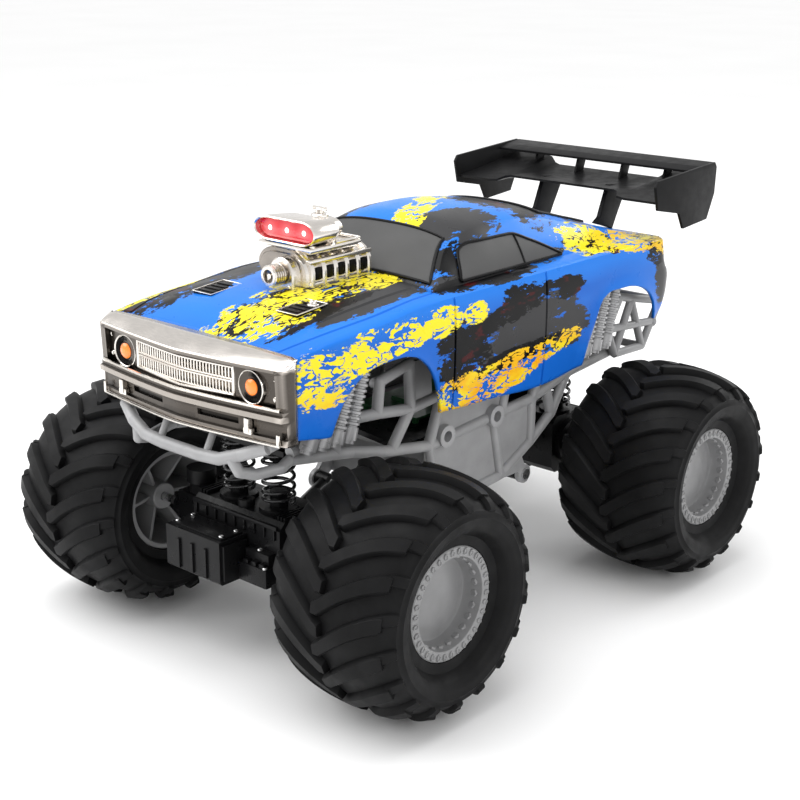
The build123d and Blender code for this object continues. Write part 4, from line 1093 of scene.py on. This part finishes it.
def build_lamp_rings(bm):
    """A bright outer ring for each lamp."""
    profile = [(-2, 9.2), (1.2, 9.2), (1.8, 8.9), (1.9, 8.5), (1.5, 8.1), (-1, 8.0)]
    for side in SIDES:
        turned(bm, profile, lamp_place(side), 48)


def build_lamp_bowls(bm):
    """The dark grooved bowl inside each lamp ring."""
    profile = [(0.4, 8.1), (1.1, 7.9)]
    for groove in range(4):
        radius = 7.6 - groove * 0.55
        profile += [(0.7, radius), (1.15, radius - 0.15), (1.15, radius - 0.3), (0.7, radius - 0.45)]
    profile += [(0.3, 5.2), (0.9, 4.9), (0.9, 0)]
    for side in SIDES:
        turned(bm, profile, lamp_place(side), 48)


def build_lamp_lenses(bm):
    """The amber dome in the middle of each lamp."""
    profile = [(0.4, 4.3), (1.4, 4.2), (2.0, 3.6), (2.5, 2.6), (2.8, 1.4), (2.9, 0)]
    for side in SIDES:
        turned(bm, profile, lamp_place(side), 40)


# Blower and scoop

def stadium(wide, tall, y, z, sides=40):
    """A slot outline across the car with long rounded ends."""
    points = []
    end = min(0.8 * tall, wide * 0.45)
    flat = wide / 2 - end
    for step in range(sides):
        angle = 2 * math.pi * (step + 0.5) / sides
        x = end * math.cos(angle) + math.copysign(flat, math.cos(angle))
        points.append((x, y, z + tall / 2 * math.sin(angle)))
    return points


def build_scoop(bm):
    """A thin-walled intake with a rolled lip and a tapering body, the drum behind it, and a wing nut."""
    rows = [stadium(wide, tall, y, z) for wide, tall, y, z in (
        (35, 9.4, -96, 231), (40, 10.6, -102, 231.6), (43.6, 10.8, -107, 231.9),
        (44.6, 11.2, -111.4, 232), (46, 12.4, -112, 232), (47.4, 13.6, -111.6, 232),
        (47.8, 13.9, -110.4, 232), (46.8, 13.6, -104, 231.9), (44, 13.0, -94, 231.5),
        (42.6, 12.4, -90.6, 231.4), (40, 10, -89.4, 231.2), (20, 4, -89.2, 231),
    )]
    skin(bm, rows, closed=True, ends=True)
    drum_rows = [stadium(wide, tall, y, 230.6) for wide, tall, y in (
        (24, 8, -91), (26, 11.6, -90.4), (26, 11.6, -80), (24.6, 10.4, -78.6), (12, 3, -78.2))]
    skin(bm, drum_rows, closed=True, ends=True)
    stem = [(0, 5.0), (1.6, 5.0), (2.2, 4.5), (2.3, 2.6), (4.6, 2.6), (5.2, 2.0), (5.2, 0)]
    turned(bm, stem, towards_top(0, -84, 235.8), 28)
    brick(bm, (-5.2, -84.8, 239.6), (5.2, -83.2, 241.8), 0.5)
    rim = [(-19.6, -92), (-19.6, -73.4), (19.6, -73.4), (19.6, -92)]
    tube(bm, [(x, y, 225.6) for x, y in dense(rim, 3)], 0.9, 10)


def build_red_lens(bm):
    """The red panel inside the scoop's mouth, gently domed."""
    rows = [stadium(wide, tall, y, 232) for wide, tall, y in (
        (43.4, 10.8, -106.6), (43.4, 10.8, -107.8), (42, 9.6, -108.6), (36, 5.4, -109.1),
        (30.1, 0.2, -109.2))]
    skin(bm, rows, closed=True, ends=True)


def build_scoop_lamps(bm):
    """Three small bright lamps seen in the red panel."""
    for x, y, z in SCOOP_LAMPS:
        place = towards_front(x, y, z)
        turned(bm, [(-1, 1.5), (0.7, 1.5), (1.1, 1.2), (1.4, 0.7), (1.5, 0)], place, 24)


def drum_outline(half, low, high, y, steps=12):
    """An upright arch across the car: straight sides up to a round top."""
    rise = min(half, (high - low) * 0.55)
    turns = [math.pi * i / steps for i in range(steps + 1)]
    arch = [(half * math.cos(turn), y, high - rise + rise * math.sin(turn)) for turn in turns]
    return [(half, y, low)] + arch + [(-half, y, low)]


def drum(bm, half, low, high, front, back, soft):
    """A closed arch-shaped block along the car with softened end edges."""
    rows = []
    for y, less in ((front, soft), (front + soft, 0), (back - soft, 0), (back, soft)):
        rows.append(drum_outline(half - less, low + less, high - less, y))
    skin(bm, rows, closed=True, ends=True)


def build_blower(bm):
    """A ribbed drum with side windows, base flange, seat and the flat tray above it."""
    drum(bm, 14.0, 200, 219.4, -108, BLOWER_BACK, 1.2)
    for number in range(6):
        y = -106.6 + number * RIB_PITCH
        drum(bm, 16.2, 201, 221.3, y, y + 3.2, 0.8)
    for side in SIDES:
        for z in ((201.4, 204.6), (214.8, 217.0)):
            side_brick(bm, side, (12, 15.6), (-107, BLOWER_BACK), z, 0.7)
    brick(bm, (-20.6, -111.6, 222.5), (20.6, -72.4, 224.8), 0.9)
    brick(bm, (-12, -104, 219), (12, -66, 222.6), 1.0)
    for x in (-18, 18):
        for y in (-108, -92, -76):
            turned(bm, [(-0.4, 1.5), (0.5, 1.5), (0.9, 1.1), (0.9, 0)], towards_top(x, y, 224.8), 6)


def build_blower_shade_and_flange(bm):
    """Black blocks in the recesses between the blower's ribs as painted shade, and the dark flange under
    them.
    """
    brick(bm, (-16.8, -108.6, 197.2), (16.8, -58.4, 202.2), 0.8)
    # Painted shade: black blocks fill the recesses between the ribs.
    for side in SIDES:
        for number in range(5):
            y = -102.2 + number * RIB_PITCH
            side_brick(bm, side, (13.6, 15.2), (y, y + 4.2), (205.4, 212.6), 0.9)


def build_snout(bm):
    """The grooved pulley, its collar and the round-topped boss in front of the blower."""
    profile = [(-15, 5.6), (-8.4, 5.6), (-8, 6.8), (-3.4, 6.8), (-2.8, 6.2), (-2.6, 5.0), (0, 5.0)]
    for step in range(5):
        x = 0.4 + step * 1.6
        profile += [(x, 6.1), (x + 0.7, 6.1), (x + 0.95, 5.3), (x + 1.35, 5.3)]
    profile += [(8.2, 4.6), (8.2, 3.8), (6.4, 3.4), (6.0, 1.6), (7.4, 1.4), (7.4, 0)]
    turned(bm, profile, towards_front(0, -115.6, 209), 44)
    drum(bm, 9.6, 199.4, 218.0, -114.6, -108.0, 0.9)
    for x in (-6.6, 6.6):
        turned(bm, [(-0.5, 1.2), (0.6, 1.2), (0.9, 0.9), (0.9, 0)], towards_front(x, -114.6, 202.4), 6)


def build_side_cover(bm):
    """The belt cover across the blower's front, with a stepped rim and a round far end, in dark plating
    that is painted shade.
    """
    low_x, high_x = COVER_X
    for radius, front, back in ((COVER_RADIUS, -107.6, -103.4), (7.6, -108.4, -107.0)):
        rows = []
        for y, less in ((front, 0.7), (front + 0.7, 0), (back - 0.5, 0), (back, 0.5)):
            wide = high_x - low_x - 2 * (COVER_RADIUS - radius) - 2 * less
            row = stadium(wide, 2 * (radius - less), y, COVER_Z)
            rows.append([(x + (low_x + high_x) / 2, y, z) for x, y, z in row])
        skin(bm, rows, closed=True, ends=True)
    profile = [
        (-6.0, COVER_RADIUS), (-0.6, COVER_RADIUS), (0, 9.4), (0.1, 8.2), (-0.8, 7.8), (-0.8, 6.0),
        (1.6, 5.8), (2.0, 5.2), (2.0, 0),
    ]
    place = Matrix.Translation((-23, -92, COVER_Z)) @ Matrix.Rotation(math.pi, 4, "Z")
    turned(bm, profile, place, 44)


# Wing

def build_lower_wing(bm):
    """The main plane, raised outside its two swept struts, with an end plate at each end."""
    across = spread(-WING_HALF, WING_HALF, 6.5, [-48, -45, 45, 48])
    chord = spread(0, 1, 0.1)
    upper, lower = [], []
    for x in across:
        fold = smooth_line([(44, 0), (49, 1)], abs(x))
        front = mix((140.5, 227.2), (132.5, 224.2), fold)
        rear = mix((196, 228.6), (196, 234.6), fold)
        top_row, low_row = [], []
        for share in chord:
            y, z = mix(front, rear, share)
            camber = -2.6 * math.sin(math.pi * share) * (1 - fold * 0.4)
            thick = 0.35 + 1.0 * math.sin(math.pi * min(1, share * 0.93 + 0.07)) ** 0.6
            top_row.append((x, y, z + camber + thick))
            low_row.append((x, y, z + camber - thick))
        upper.append(top_row)
        lower.append(low_row)
    rows = [top + list(reversed(low)) for top, low in zip(upper, lower)]
    skin(bm, rows, closed=True, ends=True)
    outline = [
        (127.6, 234.8), (130.4, 238.6), (197, 243.2), (199.2, 240), (198, 223), (190, 206.8),
        (161.8, 204.4), (156, 215), (131, 220),
    ]
    for side in SIDES:
        low, high = sorted((side * 79.4, side * 81.5))
        plate(bm, outline, low, high, SIDE_FACING, 0.55)
    strut = [
        (141.5, 203.6), (152, 200.6), (162, 197.4), (166.5, 206), (178, 225.4), (156, 227.6), (147, 207),
    ]
    for side in SIDES:
        plate(bm, strut, side * 26 - 1.6, side * 26 + 1.6, SIDE_FACING, 0.6)


def build_upper_wing(bm):
    """The narrow rear plane on four small raked posts."""
    outline = [
        (176, 237.8), (184, 239.4), (198, 241.2), (198.4, 242.2), (197.6, 243), (183.6, 241.4),
        (175.8, 239.4),
    ]
    plate(bm, outline, -79.3, 79.3, SIDE_FACING, 0.3)
    for x, low, high in ((18, 226.2, 227.8), (52, 231.2, 232.8)):
        for side in SIDES:
            post = [(181, low), (190, high), (195, 241.2), (185.4, 239.8)]
            plate(bm, post, side * x - 0.9, side * x + 0.9, SIDE_FACING, 0.3)


# The scene

def make_body():
    """The painted body and everything fixed to it."""
    walled("body_lower", build_body, "body_paint", "body_shell", SHELL_WALL, 28)
    walled("body_cabin", build_cabin, "body_paint", "body_shell", SHELL_WALL, 28)
    fixed("window_panes", build_glazing, "glazing", "window_glazing")
    fixed("window_beads", build_window_trim, "trim_black")
    fixed("hood_vents", build_hood_vents, "trim_black")
    fixed("hood_pins", build_hood_pins, "bright_trim")
    # The nose face's dark plating is painted shade and dark reflection on the chrome.
    walled("nose_face", build_nose_face, "smoked_trim", "front_fascia", NOSE_WALL, 24)
    walled("nose_cap", build_nose_cap, "bright_trim", "front_fascia", NOSE_WALL, 24)
    fixed("nose_trim", build_nose_trim, "bright_trim")
    fixed("grille_bars", build_grille, "grille_silver", "grille_insert")
    fixed("lamp_rings", build_lamp_rings, "bright_trim", "lamp_bezels")
    fixed("lamp_bowls", build_lamp_bowls, "trim_black")
    fixed("lamp_domes", build_lamp_lenses, "amber_lens", "lamp_lenses")


def make_top_pieces():
    """Blower, scoop and rear wing."""
    fixed("blower_body", build_blower, "bright_trim", "blower_case")
    # The black blocks between the blower's ribs are painted shade; the flange under them is a real part.
    fixed("blower_painted_shade_and_flange", build_blower_shade_and_flange, "trim_black")
    fixed("blower_nose", build_snout, "bright_trim", "blower_snout")
    # The belt cover's dark plating is painted shade.
    fixed("blower_side_cover", build_side_cover, "smoked_trim", "blower_cover")
    fixed("scoop_body", build_scoop, "bright_trim", "intake_scoop")
    fixed("scoop_red_panel", build_red_lens, "red_lens", "scoop_lens")
    fixed("scoop_bright_lamps", build_scoop_lamps, "lamp_glow", "scoop_lamps")
    fixed("wing_main", build_lower_wing, "wing_black", "rear_wing")
    fixed("wing_upper", build_upper_wing, "wing_black", "upper_wing")


def coil_path(x, y):
    """The line of a coil spring that stands on Z, with its end turns closed up."""
    low, high = SPRING_Z[0] + SPRING_WIRE, SPRING_Z[1] - SPRING_WIRE
    heights = [(0, low), (0.09, low + 1.2), (0.91, high - 1.2), (1, high)]
    path = []
    steps = round(SPRING_TURNS * 26)
    for step in range(steps + 1):
        angle = 2 * math.pi * SPRING_TURNS * step / steps
        z = smooth_line(heights, step / steps)
        path.append((x + SPRING_RADIUS * math.cos(angle), y + SPRING_RADIUS * math.sin(angle), z))
    return path


def build_coils(bm, spring_x, axle_y):
    """The pair of coil springs above an axle."""
    for side in SIDES:
        tube(bm, coil_path(side * spring_x, axle_y), SPRING_WIRE, 10)


def make_springs():
    """Coil springs with their upper ends on the chassis and their lower ends on the axle's yoke."""
    for end, (spring_x, yoke) in SPRING_PAIRS.items():
        axle_y = AXLE_CASES[end][0]
        builder = partial(build_coils, spring_x=spring_x, axle_y=axle_y)
        coils = piece(end + "_coils", builder, "spring_black", None, [end + "_springs"])
        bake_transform(coils)


def case_block(bm, x, out, z, face, ahead, bevel):
    """A softened block on an axle case's end face, with its Y given outwards from that face."""
    near, far = sorted((face + ahead * out[0], face + ahead * out[1]))
    brick(bm, (x[0], near, z[0]), (x[1], far, z[1]), bevel)


def build_case_details(bm, face, ahead):
    """The stepped bracket beside the motor box, the box's end plate and lid, the rail and its ribs."""
    blocks = [((11.4, 33), (-0.4, 9), (49, 60), 0.8), ((13, 31.4), (-0.4, 5.4), (59, 67), 0.7)]
    blocks += [((x, x + 3.8), (5, 8.4), (59.4, 62.2), 0.4) for x in (14.4, 20.6, 26.8)]
    blocks += [
        ((8.6, 11), (1.4, MOTOR_BOX_LENGTH - 1.6), (50, 70.4), 0.5),
        ((-33, 7.4), (1.6, MOTOR_BOX_LENGTH - 3), (MOTOR_BOX_TOP - 0.5, MOTOR_BOX_TOP + 1), 0.4),
        ((-33.6, 33.6), (-0.4, 1.6), (80.4, 82.8), 0.5),
    ]
    ribs = [-32 + number * 7.8 for number in range(9)]
    blocks += [((x, x + 1.3), (-0.4, 1.2), (74.2, 80.8), 0.3) for x in ribs]
    for x, out, z, bevel in blocks:
        case_block(bm, x, out, z, face, ahead, bevel)


def build_case_screws(bm, face, ahead):
    """Steel screw heads on the motor box's lid and on the bracket."""
    head = [(-0.4, 1.6), (0.5, 1.6), (0.9, 1.2), (0.9, 0.6), (0.5, 0.5), (0.5, 0)]
    spots = [(x, out, MOTOR_BOX_TOP + 1) for x in (-30.6, 5) for out in (4, MOTOR_BOX_LENGTH - 5.4)]
    spots += [(30.6, 7.2, 60), (22.2, 2.6, 67)]
    for x, out, z in spots:
        turned(bm, head, towards_top(x, face + ahead * out, z), 20)


def make_axle_details():
    """The moulded details and screws on both axle cases."""
    for end, (axle_y, ahead, body) in AXLE_CASES.items():
        face = axle_y + ahead * CASE_HALF_LENGTH
        details = partial(build_case_details, face=face, ahead=ahead)
        screws = partial(build_case_screws, face=face, ahead=ahead)
        piece(end + "_case_details", details, "black_plastic", body)
        piece(end + "_case_screws", screws, "steel", body)


def finish_kept_nodes():
    """Gives every CAD node that stays visible its procedural finish."""
    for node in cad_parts.values():
        for holder in node.material_slots:
            holder.material = FINISHES[holder.material.name.split(".")[0]]


def make_floor():
    """A wide pale floor."""
    made = bmesh.new()
    skin(made, [[(x, -FLOOR_REACH, 0), (x, FLOOR_REACH, 0)] for x in (-FLOOR_REACH, FLOOR_REACH)])
    mesh = bpy.data.meshes.new("floor")
    made.to_mesh(mesh)
    made.free()
    material, tree, shader = new_finish("floor_paper")
    where = place_of(tree)
    tone = ramp(tree, cloud(tree, where, 3, 2), [(0.3, grey(0.93)), (0.7, grey(0.95))])
    feed(tree, shader, {"Base Color": tone, "Roughness": 0.9})
    mesh.materials.append(material)
    floor = bpy.data.objects.new("floor", mesh)
    bpy.context.scene.collection.objects.link(floor)


def soft_light(name, place, target, size, power):
    """A large square lamp aimed at a point, in metres and watts."""
    lamp = bpy.data.lights.new(name, "AREA")
    lamp.shape = "RECTANGLE"
    lamp.size, lamp.size_y = size
    lamp.energy = power
    holder = bpy.data.objects.new(name, lamp)
    holder.location = place
    holder.rotation_euler = (Vector(target) - Vector(place)).to_track_quat("-Z", "Y").to_euler()
    bpy.context.scene.collection.objects.link(holder)


def make_lights():
    """Soft studio light: bright surroundings, a big top light, and lower lights in front and behind."""
    world = bpy.data.worlds.new("studio")
    world.use_nodes = True
    tree = world.node_tree
    background = tree.nodes["Background"]
    background.inputs["Color"].default_value = (1.0, 1.0, 1.0, 1)
    height = add(tree, "SeparateXYZ", {"Vector": add(tree, "TexCoord").outputs["Generated"]}).outputs[2]
    tree.links.new(remap(tree, height, 0.1, 0.5, 0.95, 0.75), background.inputs["Strength"])
    bpy.context.scene.world = world
    sky = bpy.data.lights.new("sky_light", "SUN")
    sky.energy = 0.9
    sky.angle = math.radians(60)
    holder = bpy.data.objects.new("sky_light", sky)
    holder.rotation_euler = (math.radians(8), math.radians(-14), 0)
    bpy.context.scene.collection.objects.link(holder)
    soft_light("top_light", (-0.1, -0.1, 1.3), (0, 0, 0.1), (1.1, 1.1), 4.5)
    soft_light("front_light", (-1.05, -0.9, 1.1), (0, -0.15, 0.15), (1.5, 1.0), 13)
    soft_light("right_light", (1.4, -0.1, 0.8), (0, 0, 0.12), (0.8, 0.5), 4)
    soft_light("back_light", (0.2, 1.4, 0.9), (0, 0.1, 0.15), (0.9, 0.5), 6)


def make_camera():
    """The main view: from the front left of the truck, a little above it."""
    data = bpy.data.cameras.new("main_view")
    data.lens = CAMERA_LENS
    data.shift_x, data.shift_y = CAMERA_SHIFT
    data.clip_start = 0.02
    ahead = (CAMERA_TARGET - CAMERA_PLACE).normalized()
    right = ahead.cross(Vector((0, 0, 1))).normalized()
    up = right.cross(ahead)
    tipped = right * math.cos(CAMERA_ROLL) + up * math.sin(CAMERA_ROLL)
    upright = up * math.cos(CAMERA_ROLL) - right * math.sin(CAMERA_ROLL)
    turn = Matrix((tipped, upright, -ahead)).transposed().to_4x4()
    camera = bpy.data.objects.new("main_view", data)
    camera.matrix_world = Matrix.Translation(CAMERA_PLACE) @ turn
    bpy.context.scene.collection.objects.link(camera)
    bpy.context.scene.camera = camera


finish_kept_nodes()
make_wheels()
make_body()
make_top_pieces()
make_springs()
make_axle_details()
make_floor()
make_lights()
make_camera()
bpy.context.scene.view_settings.view_transform = "Standard"
